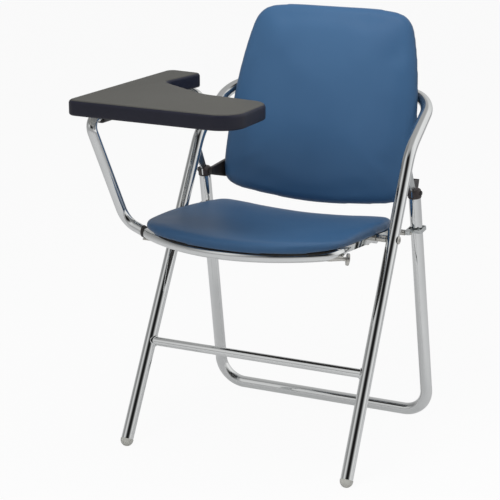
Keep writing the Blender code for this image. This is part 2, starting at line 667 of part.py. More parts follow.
def make_back():
    """The padded back, its board, the side brackets and the clips on the back bar."""
    up = Vector((0, math.sin(BACK_LEAN), math.cos(BACK_LEAN)))
    forward = Vector((0, -math.cos(BACK_LEAN), math.sin(BACK_LEAN)))
    middle = Vector((0, back_bar.y - BACK_MID_AHEAD, back_bar.z - BACK_MID_DROP))
    frame = plane_frame(middle, (1, 0, 0), up)
    outline = smooth_outline(mirrored(fitted(BACK_OUTLINE, bracket_inner_x - BACK_SIDE_GAP)))
    rear = -BACK_PAD_REAR
    depth = BACK_PAD_FRONT + BACK_PAD_REAR
    sections = ((0.007, rear), (0.0015, rear + 0.12 * depth), (0.0, rear + 0.32 * depth),
                (0.0012, rear + 0.55 * depth), (0.0055, rear + 0.80 * depth), (0.014, rear + 0.96 * depth))
    add_part("back_cushion", padded_mesh(outline, sections, BACK_PAD_CROWN, frame, lambda x, y: 0.0), VINYL,
             front_frame)
    board_front = rear - GAP
    board_rear = board_front - BACK_BOARD_THICKNESS
    board_frame = frame @ Matrix.Translation((0, 0, (board_front + board_rear) / 2))
    board = add_part("back_board", plate_mesh((inset_outline(outline, BACK_BOARD_INSET),), BACK_BOARD_THICKNESS,
                                              board_frame), BLACK, front_frame)
    targets = [board]
    places = []
    plate_back = board_rear - GAP
    for side in SIDES:
        pivot = Vector((0, rear_pivot.y, rear_pivot.z))
        flange_mid = (rear_pivot.z + BRACKET_FLANGE_RISE - middle.z) / math.cos(BACK_LEAN)
        to_plane = Matrix((forward.yz, up.yz)) @ (pivot - middle).yz
        eye = (-to_plane[0], to_plane[1])
        rear_edge = -(plate_back - BRACKET_FLANGE_THICKNESS)
        side_outline = [(rear_edge, flange_mid + BRACKET_FLANGE_HALF), (rear_edge, flange_mid - BRACKET_FLANGE_HALF)]
        for k in range(9):
            angle = -math.pi / 2 - math.pi * k / 8
            side_outline.append((eye[0] + BRACKET_EYE_R * math.cos(angle), eye[1] + BRACKET_EYE_R * math.sin(angle)))
        pin_hole = [(eye[0] + (PIN_R + GAP) * math.cos(math.tau * k / SMALL_SIDES),
                     eye[1] + (PIN_R + GAP) * math.sin(math.tau * k / SMALL_SIDES)) for k in range(SMALL_SIDES)]
        side_x = side * (bracket_inner_x + bracket_outer_x) / 2
        side_frame = plane_frame(middle + Vector((side_x, 0, 0)), -forward, up)
        bracket = add_part("back_bracket_" + SIDE_NAMES[side],
                           plate_mesh((side_outline, pin_hole), bracket_outer_x - bracket_inner_x, side_frame),
                           BLACK, front_frame)
        overlap_x = (bracket_inner_x + bracket_outer_x) / 2
        inner_x, outer_x = sorted((side * BRACKET_FLANGE_END_X, side * overlap_x))
        flange = box_mesh((inner_x, flange_mid - BRACKET_FLANGE_HALF + GAP, plate_back - BRACKET_FLANGE_THICKNESS + GAP),
                          (outer_x, flange_mid + BRACKET_FLANGE_HALF - GAP, plate_back), frame)
        combine(bracket, helper("bracket_flange_" + SIDE_NAMES[side], flange, front_frame), "UNION")
        targets.append(bracket)
        screw_x = BRACKET_FLANGE_END_X + 0.010
        point = frame @ Vector((side * screw_x, flange_mid, plate_back - BRACKET_FLANGE_THICKNESS + GAP))
        places.append((point, forward, BRACKET_FLANGE_THICKNESS + SCREW_DEPTH))
        bar_back = -(back_bar - middle).dot(forward)
        bar_up = (back_bar - middle).dot(up)
        foot = -plate_back
        ring_r = LEG_TUBE_R + GAP + BACK_CLIP_WALL
        foot_end = foot + BACK_CLIP_FOOT_THICKNESS
        clip_outline = [(foot, bar_up - BACK_CLIP_FOOT_HALF), (foot_end, bar_up - BACK_CLIP_FOOT_HALF),
                        (foot_end, bar_up - ring_r * 0.75)]
        for k in range(13):
            angle = -math.pi / 2 + math.pi * k / 12
            clip_outline.append((bar_back + ring_r * math.cos(angle), bar_up + ring_r * math.sin(angle)))
        clip_outline += [(foot_end, bar_up + ring_r * 0.75), (foot_end, bar_up + BACK_CLIP_FOOT_HALF),
                         (foot, bar_up + BACK_CLIP_FOOT_HALF)]
        bore = [(bar_back + (LEG_TUBE_R + GAP) * math.cos(math.tau * k / ROUND_SIDES),
                 bar_up + (LEG_TUBE_R + GAP) * math.sin(math.tau * k / ROUND_SIDES)) for k in range(ROUND_SIDES)]
        clip_frame = plane_frame(middle + Vector((side * BACK_CLIP_X, 0, 0)), -forward, up)
        clip = add_part("back_clip_" + SIDE_NAMES[side],
                        plate_mesh((clip_outline, bore), BACK_CLIP_WIDTH, clip_frame), BLACK, front_frame)
        targets.append(clip)
        for lift in (-1, 1):
            point = frame @ Vector((side * BACK_CLIP_X, bar_up + lift * BACK_CLIP_SCREW_V, -foot_end))
            places.append((point, forward, BACK_CLIP_FOOT_THICKNESS + SCREW_DEPTH))
    fix_with_screws("back_screw", places, front_frame, targets)


def seat_bar_point(x):
    """A point on the bowed front bar's axis."""
    return Vector((x, front_bar_y(x), bar_height))


def make_front_bar():
    """The bar under the front of the seat, with a ringed pin at its free end."""
    trim_x = arm_foot_x + ARM_TIP_CLEAR
    start_x = trim_x - ARM_TUBE_R
    span = seat_bar_half - SEAT_BAR_LEFT_SHORT - start_x
    path = [seat_bar_point(start_x + span * k / SEAT_BAR_POINTS) for k in range(SEAT_BAR_POINTS + 1)]
    bar = add_part("seat_front_bar", tube_mesh(path, ARM_TUBE_R), CHROME, seat)
    reach = 4 * ARM_TUBE_R
    trim = seat_bar_point(trim_x)
    combine(bar, helper("bar_trim", box_mesh(trim - Vector((reach, reach, reach)), trim + Vector((0, reach, reach))),
                        seat))
    pin_end = GAP + BAR_END_PIN_LENGTH
    ring_end = pin_end + BAR_END_RING_THICKNESS
    profile = ((0, GAP), (BAR_END_CONE_R, GAP), (BAR_END_PIN_R, GAP + BAR_END_CONE_LENGTH), (BAR_END_PIN_R, pin_end),
               (BAR_END_RING_R, pin_end), (BAR_END_RING_R, ring_end), (BAR_END_RING_R * 0.55, ring_end),
               (BAR_END_RING_R * 0.45, ring_end + 0.001), (0, ring_end + 0.001))
    add_part("front_bar_end_ring", turned_mesh(profile, along(path[-1], path[-1] - path[-2])), ZINC, seat)
    return path


def make_rails(bar_path):
    """The side rails, coped over the front bar, and the bolts, spacers and loops' pins that they turn on."""
    guide_arm = guide_pivot - Vector((0, seat_pivot.y, seat_pivot.z))
    pivot = (0.0, 0.0)
    guide = (guide_arm.dot(seat_back), guide_arm.dot(seat_up))
    half = RAIL_HEIGHT / 2
    reach = (seat_pivot.y - front_bar_y(rail_mid_x + RAIL_THICKNESS / 2)) / math.cos(SEAT_TILT)
    outline = [(-reach, half), (-reach, -half)]
    for centre in (pivot, guide):
        dip = math.asin(max(-0.95, min(0.95, (centre[1] + half) / RAIL_EYE_R)))
        rise = math.asin(max(-0.95, min(0.95, (half - centre[1]) / RAIL_EYE_R)))
        last = -dip if centre == pivot else rise
        for k in range(11):
            angle = dip - math.pi + (last - dip + math.pi) * k / 10
            outline.append((centre[0] + RAIL_EYE_R * math.cos(angle), centre[1] + RAIL_EYE_R * math.sin(angle)))
    rail_inner = rail_mid_x - RAIL_THICKNESS / 2
    rail_outer = rail_mid_x + RAIL_THICKNESS / 2
    rails = []
    for side in SIDES:
        frame = plane_frame((side * rail_mid_x, seat_pivot.y, seat_pivot.z), seat_back, seat_up)
        holes = []
        for centre, radius in ((pivot, BOLT_R), (guide, GUIDE_BOLT_R)):
            holes.append([(centre[0] + (radius + GAP) * math.cos(math.tau * k / SMALL_SIDES),
                           centre[1] + (radius + GAP) * math.sin(math.tau * k / SMALL_SIDES))
                          for k in range(SMALL_SIDES)])
        rail = add_part("seat_rail_" + SIDE_NAMES[side], plate_mesh((outline, *holes), RAIL_THICKNESS, frame), CHROME,
                        seat)
        long_bar = [bar_path[0] * 1.5 - bar_path[1] * 0.5] + bar_path + [bar_path[-1] * 3 - bar_path[-2] * 2]
        combine(rail, helper("bar_cope_" + SIDE_NAMES[side], tube_mesh(long_bar, ARM_TUBE_R + GAP), seat))
        rails.append(rail)
        place = (seat_pivot.y, seat_pivot.z)
        leg_inner = seat_pivot.x - LEG_TUBE_R - GAP
        leg_outer = seat_pivot.x + LEG_TUBE_R + GAP
        bolt = bolt_mesh(rail_inner - GAP, leg_outer, BOLT_R, BOLT_HEAD_R, BOLT_HEAD_HEIGHT, SEAT_BOLT_NUT_R, place, side)
        add_part("seat_pivot_bolt_" + SIDE_NAMES[side], bolt, ZINC, front_frame)
        bore = BOLT_R + GAP
        spacer = ((bore, rail_outer + GAP), (SPACER_R, rail_outer + GAP), (SPACER_R, leg_inner), (bore, leg_inner),
                  (bore, rail_outer + GAP))
        add_part("seat_spacer_" + SIDE_NAMES[side], turned_mesh(spacer, along((0, *place), (side, 0, 0)), SMALL_SIDES),
                 ZINC, seat)
        guide_inner = guide_wall_x(side)
        bolt_end = guide_inner + GUIDE_TONGUE + 0.0015
        shoulder_r = GUIDE_BOLT_R + 0.0022
        head_r = GUIDE_BOLT_R + 0.0035
        pin = ((0, rail_inner - GAP - 0.003), (head_r, rail_inner - GAP - 0.003), (head_r, rail_inner - GAP),
               (GUIDE_BOLT_R, rail_inner - GAP), (GUIDE_BOLT_R, rail_outer + GAP), (shoulder_r, rail_outer + GAP),
               (shoulder_r, guide_inner - GAP), (GUIDE_BOLT_R, guide_inner - GAP),
               (GUIDE_BOLT_R, bolt_end), (0, bolt_end))
        pin_frame = along(guide_pivot, (side, 0, 0))
        add_part("guide_bolt_" + SIDE_NAMES[side], turned_mesh(pin, pin_frame, SMALL_SIDES), ZINC, seat)
    return rails


def make_seat(rails):
    """The dished seat board with its pad wrapped round the edge, and the rail across below it."""
    frame = plane_frame((0, seat_pivot.y, seat_pivot.z), (1, 0, 0), seat_back)
    rail_inner = rail_mid_x - RAIL_THICKNESS / 2
    rail_outer = rail_mid_x + RAIL_THICKNESS / 2
    board_low = RAIL_HEIGHT / 2 + GAP

    def dish(x, y):
        return SEAT_DISH * ((x / rail_inner) ** 2 - 1)

    outline = smooth_outline(mirrored(fitted(SEAT_OUTLINE, seat_pivot.x - LEG_TUBE_R - SEAT_SIDE_GAP)))
    board_sections = ((SEAT_BOARD_INSET, board_low), (SEAT_BOARD_INSET, board_low + SEAT_BOARD_THICKNESS))
    board = add_part("seat_board", padded_mesh(outline, board_sections, 0.0, frame, dish), PLYWOOD, seat)
    recess = SEAT_BOARD_INSET - GAP
    depth = SEAT_PAD_DEPTH
    sections = ((recess, board_low + SEAT_BOARD_THICKNESS + GAP), (recess, board_low), (0.0022, board_low),
                (0.0006, board_low + 0.16 * depth), (0.0, board_low + 0.36 * depth), (0.0010, board_low + 0.60 * depth),
                (0.0050, board_low + 0.84 * depth), (0.0130, board_low + depth))
    add_part("seat_cushion", padded_mesh(outline, sections, SEAT_PAD_CROWN, frame, dish), VINYL, seat)
    cross_top = min(board_low + dish(0, 0), -RAIL_HEIGHT / 2) - GAP
    cross_back = (guide_pivot - Vector((0, seat_pivot.y, seat_pivot.z))).dot(seat_back) - CROSS_RAIL_AHEAD
    cross_low = (-rail_outer, cross_back - CROSS_RAIL_WIDTH / 2, cross_top - CROSS_RAIL_HEIGHT)
    cross_high = (rail_outer, cross_back + CROSS_RAIL_WIDTH / 2, cross_top)
    add_part("seat_cross_rail", box_mesh(cross_low, cross_high, frame), CHROME, seat)
    places = []
    for side in SIDES:
        for back in SEAT_SCREW_PLACES:
            point = frame @ Vector((side * rail_mid_x, back, -RAIL_HEIGHT / 2 - GAP))
            places.append((point, seat_up, RAIL_HEIGHT + SCREW_DEPTH - GAP))
    fix_with_screws("seat_screw", places, seat, rails + [board])


def guide_wall_x(side):
    """Distance from the middle to a guide's inner face."""
    leg_x = abs(rear_leg(side, guide_pivot.z).x)
    return leg_x - LEG_TUBE_R - RUNNING_GAP - GUIDE_WALL


def make_guides():
    """Loops on the rear legs, hinged at the back of the seat rails."""
    for side in SIDES:
        up = (rear_leg(side, 1) - rear_leg(side, 0)).normalized()
        back = Vector((1, 0, 0)).cross(up) * -1
        leg = rear_leg(side, guide_pivot.z)
        centre = leg + up * (guide_pivot - Vector((0, leg.y, leg.z))).dot(up)
        frame = plane_frame(centre, (1, 0, 0), back)
        near = LEG_TUBE_R + RUNNING_GAP
        far = LEG_TUBE_R + GUIDE_OUTER_PLAY
        front = -(LEG_TUBE_R + GUIDE_FRONT_PLAY)
        rear = LEG_TUBE_R + RUNNING_GAP
        corners = ((-near, front), (far, front), (far, rear), (-near, rear))
        inner = rounded([((side * x, y, 0), GUIDE_CORNER_R) for x, y in corners], closed=True)
        wide = near + GUIDE_WALL
        tongue = GUIDE_TONGUE - wide
        tongue_end = -GUIDE_PIN_AHEAD - GUIDE_PIN_EDGE
        corners = (((-wide, tongue_end), GUIDE_CORNER_R), ((tongue, tongue_end), GUIDE_CORNER_R),
                   ((tongue, front - GUIDE_WALL), 0), ((far + GUIDE_WALL, front - GUIDE_WALL), GUIDE_CORNER_R),
                   ((far + GUIDE_WALL, rear + GUIDE_WALL), GUIDE_CORNER_R), ((-wide, rear + GUIDE_WALL), GUIDE_CORNER_R))
        outer = rounded([((side * x, y, 0), radius) for (x, y), radius in corners], closed=True)
        guide = add_part("leg_guide_" + SIDE_NAMES[side], plate_mesh((outer, inner), GUIDE_HEIGHT, frame), ZINC,
                         guides[side])
        hole = rod_mesh((leg.x - 2 * wide, guide_pivot.y, guide_pivot.z),
                        (leg.x + 2 * wide, guide_pivot.y, guide_pivot.z), GUIDE_BOLT_R + GAP, SMALL_SIDES)
        combine(guide, helper("guide_hole_" + SIDE_NAMES[side], hole, guides[side]))


def make_tablet_arm(frame_tube):
    """The bent arm tube, its tip and cradle, its pivot bolt and the stub under the board."""
    tube_end_x = arm_foot_x - ARM_TIP_THICKNESS - GAP
    start = arm_foot + arm_tail * ARM_TUBE_R
    pivot_x = -(arm_pivot.x + ARM_PIVOT_OFFSET)
    path = rounded(((start, 0), (arm_knee, ARM_KNEE_BEND_R), (arm_corner, ARM_FRONT_BEND_R),
                    ((ARM_RUN_X, arm_pivot.y, arm_run_height), ARM_REAR_BEND_R),
                    ((pivot_x, arm_pivot.y, arm_run_height), ARM_REAR_BEND_R),
                    ((pivot_x, arm_pivot.y, arm_pivot.z - ARM_END_DROP), 0)))
    arm = add_part("tablet_arm_tube", tube_mesh(path, ARM_TUBE_R), CHROME, tablet_arm)
    reach = 4 * ARM_TIP_R
    low = arm_foot - Vector((0, reach, reach))
    high = arm_foot + Vector((reach, reach, reach))
    beyond = box_mesh((tube_end_x, low.y, low.z), high)
    combine(arm, helper("arm_trim", beyond, tablet_arm))
    tip = add_part("arm_foot_tip", rod_mesh(arm_foot - arm_tail * 2 * ARM_TIP_R, arm_foot + arm_tail * 2 * ARM_TIP_R, ARM_TIP_R),
                   BLACK, tablet_arm)
    slab = box_mesh((arm_foot_x - ARM_TIP_THICKNESS, low.y, low.z), (arm_foot_x, high.y, high.z))
    combine(tip, helper("tip_slab", slab, tablet_arm), "INTERSECT")

    plate_top = arm_foot.z - ARM_TIP_R / math.hypot(arm_tail.x, arm_tail.y) - GAP
    plate_low = plate_top - CRADLE_THICKNESS
    near = arm_foot_x - CRADLE_WIDTH / 2
    tail_slope = -arm_tail.y / arm_tail.x
    wall_y = arm_foot.y + tail_slope * CRADLE_WIDTH / 2 + ARM_TIP_R * math.hypot(1, tail_slope) + RUNNING_GAP
    cradle = add_part("arm_cradle", box_mesh((near, wall_y - CRADLE_WIDTH, plate_low),
                                             (near + CRADLE_LENGTH, wall_y + CRADLE_THICKNESS, plate_top)), ZINC, seat)
    wall = box_mesh((near + GAP, wall_y, plate_low + GAP),
                    (arm_foot_x, wall_y + CRADLE_THICKNESS - GAP, plate_top + CRADLE_WALL_HEIGHT))
    combine(cradle, helper("cradle_wall", wall, seat), "UNION")

    lean_in = (back_bar - shoulder).normalized().x
    leg_outer = arm_pivot.x + (LEG_TUBE_R + SPACER_R * abs(lean_in)) / math.sqrt(1 - lean_in ** 2) + GAP
    arm_inner = abs(pivot_x) - ARM_TUBE_R - GAP
    place = (arm_pivot.y, arm_pivot.z)
    hole = BOLT_R + GAP
    washer = ((hole, leg_outer), (SPACER_R, leg_outer), (SPACER_R, arm_inner), (hole, arm_inner), (hole, leg_outer))
    add_part("arm_pivot_washer", turned_mesh(washer, along((0, *place), (-1, 0, 0)), SMALL_SIDES), BLACK, tablet_arm)
    bolt = bolt_mesh(arm_pivot.x - LEG_TUBE_R - GAP, abs(pivot_x) + ARM_TUBE_R + GAP, BOLT_R, BOLT_HEAD_R,
                     BOLT_HEAD_HEIGHT, BOLT_HEAD_R, place, -1)
    add_part("arm_pivot_bolt", bolt, ZINC, front_frame)
    drill = rod_mesh((ARM_RUN_X, *place), (-arm_pivot.x + 2 * LEG_TUBE_R, *place), hole, SMALL_SIDES)
    combine(arm, helper("arm_pivot_hole", drill, tablet_arm))
    drill = rod_mesh((ARM_RUN_X, *place), (-arm_pivot.x + 2 * LEG_TUBE_R, *place), hole, SMALL_SIDES)
    combine(frame_tube, helper("frame_arm_hole", drill, front_frame))
    for side in SIDES:
        drill = rod_mesh((side * (seat_pivot.x - 2 * LEG_TUBE_R), seat_pivot.y, seat_pivot.z),
                         (side * (seat_pivot.x + 2 * LEG_TUBE_R), seat_pivot.y, seat_pivot.z), hole, SMALL_SIDES)
        combine(frame_tube, helper("frame_seat_hole_" + SIDE_NAMES[side], drill, front_frame))

    stub_start = ARM_RUN_X + ARM_TUBE_R + GAP
    stub_end = stub_start + STUB_LENGTH
    add_part("tablet_support_stub", rod_mesh((stub_start, STUB_Y, arm_run_height), (stub_end, STUB_Y, arm_run_height), STUB_R),
             CHROME, tablet_arm)
    bumper_low = arm_run_height + STUB_R + GAP
    add_part("support_bumper", rod_mesh((stub_end - BUMPER_SETBACK, STUB_Y, bumper_low),
                                        (stub_end - BUMPER_SETBACK, STUB_Y, board_underside - GAP), BUMPER_R, SMALL_SIDES),
             RUBBER, tablet_arm)


def make_tablet():
    """The writing board with its top sheet, and the clips that hinge it on the arm tube."""
    outline = [(p.x, p.y) for p in rounded([((x, y, 0), r) for (x, y), r in TABLET_CORNERS], closed=True)]
    board_frame = Matrix.Translation((0, 0, board_underside + TABLET_THICKNESS / 2))
    board = add_part("tablet_board", plate_mesh((outline,), TABLET_THICKNESS, board_frame), EDGING, tablet)
    bevel = board.modifiers.new("rounded_edge", "BEVEL")
    bevel.width = TABLET_EDGE_R
    bevel.segments = 2
    bevel.limit_method = "ANGLE"
    bevel.angle_limit = math.radians(60)
    sheet_mid = board_underside + TABLET_THICKNESS + GAP + TABLET_TOP_SHEET / 2
    add_part("tablet_top", plate_mesh((inset_outline(outline, TABLET_TOP_INSET),), TABLET_TOP_SHEET,
                                      Matrix.Translation((0, 0, sheet_mid))), LAMINATE, tablet)
    bore = ARM_TUBE_R + RUNNING_GAP
    side = bore + CLIP_WALL
    flange_low = board_underside - GAP - CLIP_FLANGE_THICKNESS - arm_run_height
    flange_top = board_underside - GAP - arm_run_height
    clip_outline = rounded((((-side, -side, 0), side * 0.75), ((side, -side, 0), side * 0.75), ((side, flange_low, 0), 0),
                            ((CLIP_FLANGE_END, flange_low, 0), 0), ((CLIP_FLANGE_END, flange_top, 0), 0),
                            ((-side, flange_top, 0), 0)), closed=True)
    hole = [(bore * math.cos(math.tau * k / ROUND_SIDES), bore * math.sin(math.tau * k / ROUND_SIDES))
            for k in range(ROUND_SIDES)]
    clips = []
    places = []
    for name, clip_y in zip(("front", "rear"), CLIP_YS):
        frame = plane_frame((ARM_RUN_X, clip_y, arm_run_height), (1, 0, 0), (0, 0, 1))
        clips.append(add_part("hinge_clip_" + name, plate_mesh((clip_outline, hole), CLIP_LENGTH, frame), BLACK, tablet))
        for step in SIDES:
            point = Vector((ARM_RUN_X + CLIP_SCREW_IN, clip_y + step * CLIP_SCREW_HALF_PITCH, arm_run_height + flange_low))
            places.append((point, (0, 0, 1), CLIP_FLANGE_THICKNESS + SCREW_DEPTH))
    fix_with_screws("tablet_screw", places, tablet, clips + [board])


def stand_on_origin():
    """Put the middle of the chair's footprint over the origin, with its lowest point at zero height."""
    bpy.context.view_layer.update()
    depsgraph = bpy.context.evaluated_depsgraph_get()
    corners = []
    for part in parts.objects:
        if part.type == "MESH":
            shape = part.evaluated_get(depsgraph)
            corners += [shape.matrix_world @ Vector(corner) for corner in shape.bound_box]
    low = Vector([min(c[i] for c in corners) for i in range(3)])
    high = Vector([max(c[i] for c in corners) for i in range(3)])
    chair.location = Vector((-(low.x + high.x) / 2, -(low.y + high.y) / 2, -low.z))
    bpy.context.view_layer.update()


gusset_x = (front_leg(1, rear_pivot_height).x + rear_pivot.x) / 2
board_underside = arm_run_height + ARM_TUBE_R + TABLET_LIFT

front_tube = make_front_frame()
make_gussets(make_rear_frame())
make_back()
make_seat(make_rails(make_front_bar()))
make_guides()
make_tablet_arm(front_tube)
make_tablet()
stand_on_origin()
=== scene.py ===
"""The folding conference chair with its writing tablet: pieces, finishes, light and camera."""
import math

import bpy
from mathutils import Matrix, Vector


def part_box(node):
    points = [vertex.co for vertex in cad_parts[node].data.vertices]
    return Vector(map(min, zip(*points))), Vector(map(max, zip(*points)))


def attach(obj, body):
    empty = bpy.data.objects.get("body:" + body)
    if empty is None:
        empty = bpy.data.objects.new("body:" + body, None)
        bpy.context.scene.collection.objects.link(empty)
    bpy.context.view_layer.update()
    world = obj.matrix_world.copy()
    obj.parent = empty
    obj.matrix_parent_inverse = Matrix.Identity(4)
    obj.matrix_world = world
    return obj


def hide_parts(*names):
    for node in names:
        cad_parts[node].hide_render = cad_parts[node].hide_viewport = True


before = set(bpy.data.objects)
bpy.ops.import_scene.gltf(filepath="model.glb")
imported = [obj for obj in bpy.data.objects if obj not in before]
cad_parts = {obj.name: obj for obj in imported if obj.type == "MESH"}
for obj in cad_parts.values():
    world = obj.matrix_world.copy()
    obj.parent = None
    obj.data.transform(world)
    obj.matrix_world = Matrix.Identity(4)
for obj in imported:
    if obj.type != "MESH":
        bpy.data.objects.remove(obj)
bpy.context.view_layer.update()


# FRONT FRAME
# One chromed steel tube, 22 mm across, bent into two leaning legs and the bar behind the back.
# Each bend is drawn round a former, so the tube stays round.

left_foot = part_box("foot_cap_left_hand")
right_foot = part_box("foot_cap_right_hand")
MIDDLE_X = (left_foot[1].x + right_foot[0].x) / 2
SEAT_PIVOT_Y = 0.016383
seat_bolt_low, seat_bolt_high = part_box("seat_pivot_bolt_left_hand")
MIDDLE_Y = (seat_bolt_low.y + seat_bolt_high.y) / 2 - SEAT_PIVOT_Y


def place(x, y, z):
    """A point measured from the floor under the middle of the seat."""
    return Vector((MIDDLE_X + x, MIDDLE_Y + y, z))


class Value:
    """An output of a node, with arithmetic: each sign adds a Math node."""

    def __init__(self, nodes, socket):
        self.nodes = nodes
        self.socket = socket

    def maths(self, operation, first, second):
        return self.nodes.node("ShaderNodeMath", {"operation": operation}, {0: first, 1: second})

    def __add__(self, other):
        return self.maths("ADD", self, other)

    __radd__ = __add__

    def __sub__(self, other):
        return self.maths("SUBTRACT", self, other)

    def __rsub__(self, other):
        return self.maths("SUBTRACT", other, self)

    def __mul__(self, other):
        return self.maths("MULTIPLY", self, other)

    __rmul__ = __mul__


class Nodes:
    """A node tree that grows by one method."""

    def __init__(self, tree):
        self.tree = tree

    def node(self, kind, settings=None, inputs=None, output=0):
        """Add a node, set it up, feed its sockets and hand back one of its outputs."""
        made = self.tree.nodes.new(kind)
        for name, setting in (settings or {}).items():
            if name == "stops":
                stops = made.color_ramp.elements
                while len(stops) < len(setting):
                    stops.new(1.0)
                for stop, (position, colour) in zip(stops, setting):
                    stop.position = position
                    stop.color = (*colour, 1.0)
            else:
                setattr(made, name, setting)
        for name, value in (inputs or {}).items():
            self.feed(made.inputs[name], value)
        return Value(self, made.outputs[output])

    def feed(self, socket, value):
        """Link a Value to a socket, or set a plain value on it."""
        if isinstance(value, Value):
            self.tree.links.new(value.socket, socket)
        else:
            socket.default_value = value

    def mixed(self, share, first, second):
        """A colour between two others."""
        return self.node("ShaderNodeMix", {"data_type": "RGBA"}, {0: share, 6: first, 7: second}, 2)


class Finish(Nodes):
    """A material whose Principled shader is fed by nodes."""

    def __init__(self, name):
        self.material = bpy.data.materials.new(name)
        self.material.use_nodes = True
        super().__init__(self.material.node_tree)
        self.shader = self.tree.nodes["Principled BSDF"]

    def set(self, sockets):
        for name, value in sockets.items():
            self.feed(self.shader.inputs[name], value)

    def spot(self, scale=(1.0, 1.0, 1.0)):
        """Object coordinates, stretched."""
        place_on = self.node("ShaderNodeTexCoord", output="Object")
        return self.node("ShaderNodeMapping", None, {"Vector": place_on, "Scale": scale})

    def noise(self, spot, scale, detail=3.0, roughness=0.5):
        return self.node("ShaderNodeTexNoise", None,
                         {"Vector": spot, "Scale": scale, "Detail": detail, "Roughness": roughness})

    def range(self, value, low, high, to_low=0.0, to_high=1.0):
        """A value's range stretched to another, with soft ends."""
        return self.node("ShaderNodeMapRange", {"interpolation_type": "SMOOTHSTEP"},
                         {"Value": value, "From Min": low, "From Max": high, "To Min": to_low, "To Max": to_high})

    def bump(self, height, distance, strength):
        return self.node("ShaderNodeBump", None, {"Height": height, "Distance": distance, "Strength": strength})


chrome = Finish("bright_chrome")
haze = chrome.noise(chrome.spot(), 22.0, 4.0)
wipe_marks = chrome.noise(chrome.spot((1.0, 1.0, 0.12)), 900.0, 2.0)
chrome.set({
    "Metallic": 1.0,
    "Base Color": chrome.mixed(haze, (0.70, 0.715, 0.715, 1.0), (0.79, 0.80, 0.795, 1.0)),
    "Roughness": 0.025 + haze * 0.04 + wipe_marks * 0.008,
})


def take_up(piece):
    """Leave one piece selected and active."""
    bpy.ops.object.select_all(action="DESELECT")
    piece.select_set(True)
    bpy.context.view_layer.objects.active = piece


def close_up(piece, smooth):
    """Merge a mesh's doubles, point its faces outwards and shade it by angle."""
    take_up(piece)
    bpy.ops.object.mode_set(mode="EDIT")
    bpy.ops.mesh.select_all(action="SELECT")
    bpy.ops.mesh.remove_doubles(threshold=1e-6)
    bpy.ops.mesh.normals_make_consistent(inside=False)
    bpy.ops.object.mode_set(mode="OBJECT")
    bpy.ops.object.shade_smooth_by_angle(angle=math.radians(smooth))


def start_round(name, radius, at, aim, sides):
    """A round face to draw a tube or a turned piece from, left in edit mode."""
    bpy.ops.object.select_all(action="DESELECT")
    bpy.ops.mesh.primitive_circle_add(vertices=sides, radius=radius, fill_type="NGON", location=at,
                                      rotation=Vector(aim).to_track_quat("Z", "Y").to_euler())
    piece = bpy.context.object
    piece.name = name
    bpy.ops.object.transform_apply(location=True, rotation=True, scale=True)
    bpy.ops.object.mode_set(mode="EDIT")
    bpy.ops.mesh.select_all(action="SELECT")
    return piece


def draw_out(step):
    """Extrude what is selected by a step."""
    bpy.ops.mesh.extrude_region_move(TRANSFORM_OT_translate={"value": step})


BEND_STEP = math.radians(4)


def bent_tube(name, corners, radius, sides=48):
    """A tube through corners (point, bend radius): straight runs are drawn out, and bends are spun."""
    here = Vector(corners[0][0])
    aim = (Vector(corners[1][0]) - here).normalized()
    tube = start_round(name, radius, here, aim, sides)
    for index in range(1, len(corners) - 1):
        corner, bend = corners[index]
        after = (Vector(corners[index + 1][0]) - corner).normalized()
        turn = aim.angle(after)
        tangent = bend * math.tan(turn / 2)
        bend_start = corner - aim * tangent
        draw_out(bend_start - here)
        axis = aim.cross(after).normalized()
        steps = max(3, math.ceil(turn / BEND_STEP))
        bpy.ops.mesh.spin(steps=steps, angle=-turn, center=bend_start + axis.cross(aim) * bend, axis=axis)
        here = corner + after * tangent
        aim = after
    draw_out(Vector(corners[-1][0]) - here)
    bpy.ops.object.mode_set(mode="OBJECT")
    close_up(tube, 40)
    return tube


def fit(piece, finish, slot, body, *nodes):
    """Give a piece its finish and its body, and let it stand for its CAD nodes."""
    piece.data.materials.clear()
    piece.data.materials.append(finish.material)
    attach(piece, body)
    if nodes:
        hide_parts(*nodes)
    return piece


LEG_R = 0.0111
FRONT_FOOT_X = 0.220
FRONT_FOOT_Y = -0.1917
FRONT_TOE_IN = math.radians(0.70)
FRONT_LEAN = math.radians(27.9)
FRONT_END_Z = 0.0132
SHOULDER_Z = 0.540
SHOULDER_BEND = 0.095
BACK_BAR = (0.207, 0.2240, 0.6180)
BACK_BAR_BEND = 0.058


def front_leg_x(height):
    """How far a front leg's axis is from the middle."""
    return FRONT_FOOT_X - math.tan(FRONT_TOE_IN) * height


def front_leg(side, height):
    """A point on a front leg's axis."""
    return place(side * front_leg_x(height), FRONT_FOOT_Y + math.tan(FRONT_LEAN) * height, height)


bar_x, bar_y, bar_z = BACK_BAR
front_corners = [
    (front_leg(-1, FRONT_END_Z), 0),
    (front_leg(-1, SHOULDER_Z), SHOULDER_BEND),
    (place(-bar_x, bar_y, bar_z), BACK_BAR_BEND),
    (place(bar_x, bar_y, bar_z), BACK_BAR_BEND),
    (front_leg(1, SHOULDER_Z), SHOULDER_BEND),
    (front_leg(1, FRONT_END_Z), 0),
]
fit(bent_tube("front_tube", front_corners, LEG_R), chrome, "chrome_tube", "front_frame", "front_frame_tube")


# RUNG
# A 16 mm chromed steel tube that keeps the front legs apart.
# Its ends are coped to the legs and welded all round, with a slightly rippled bead.

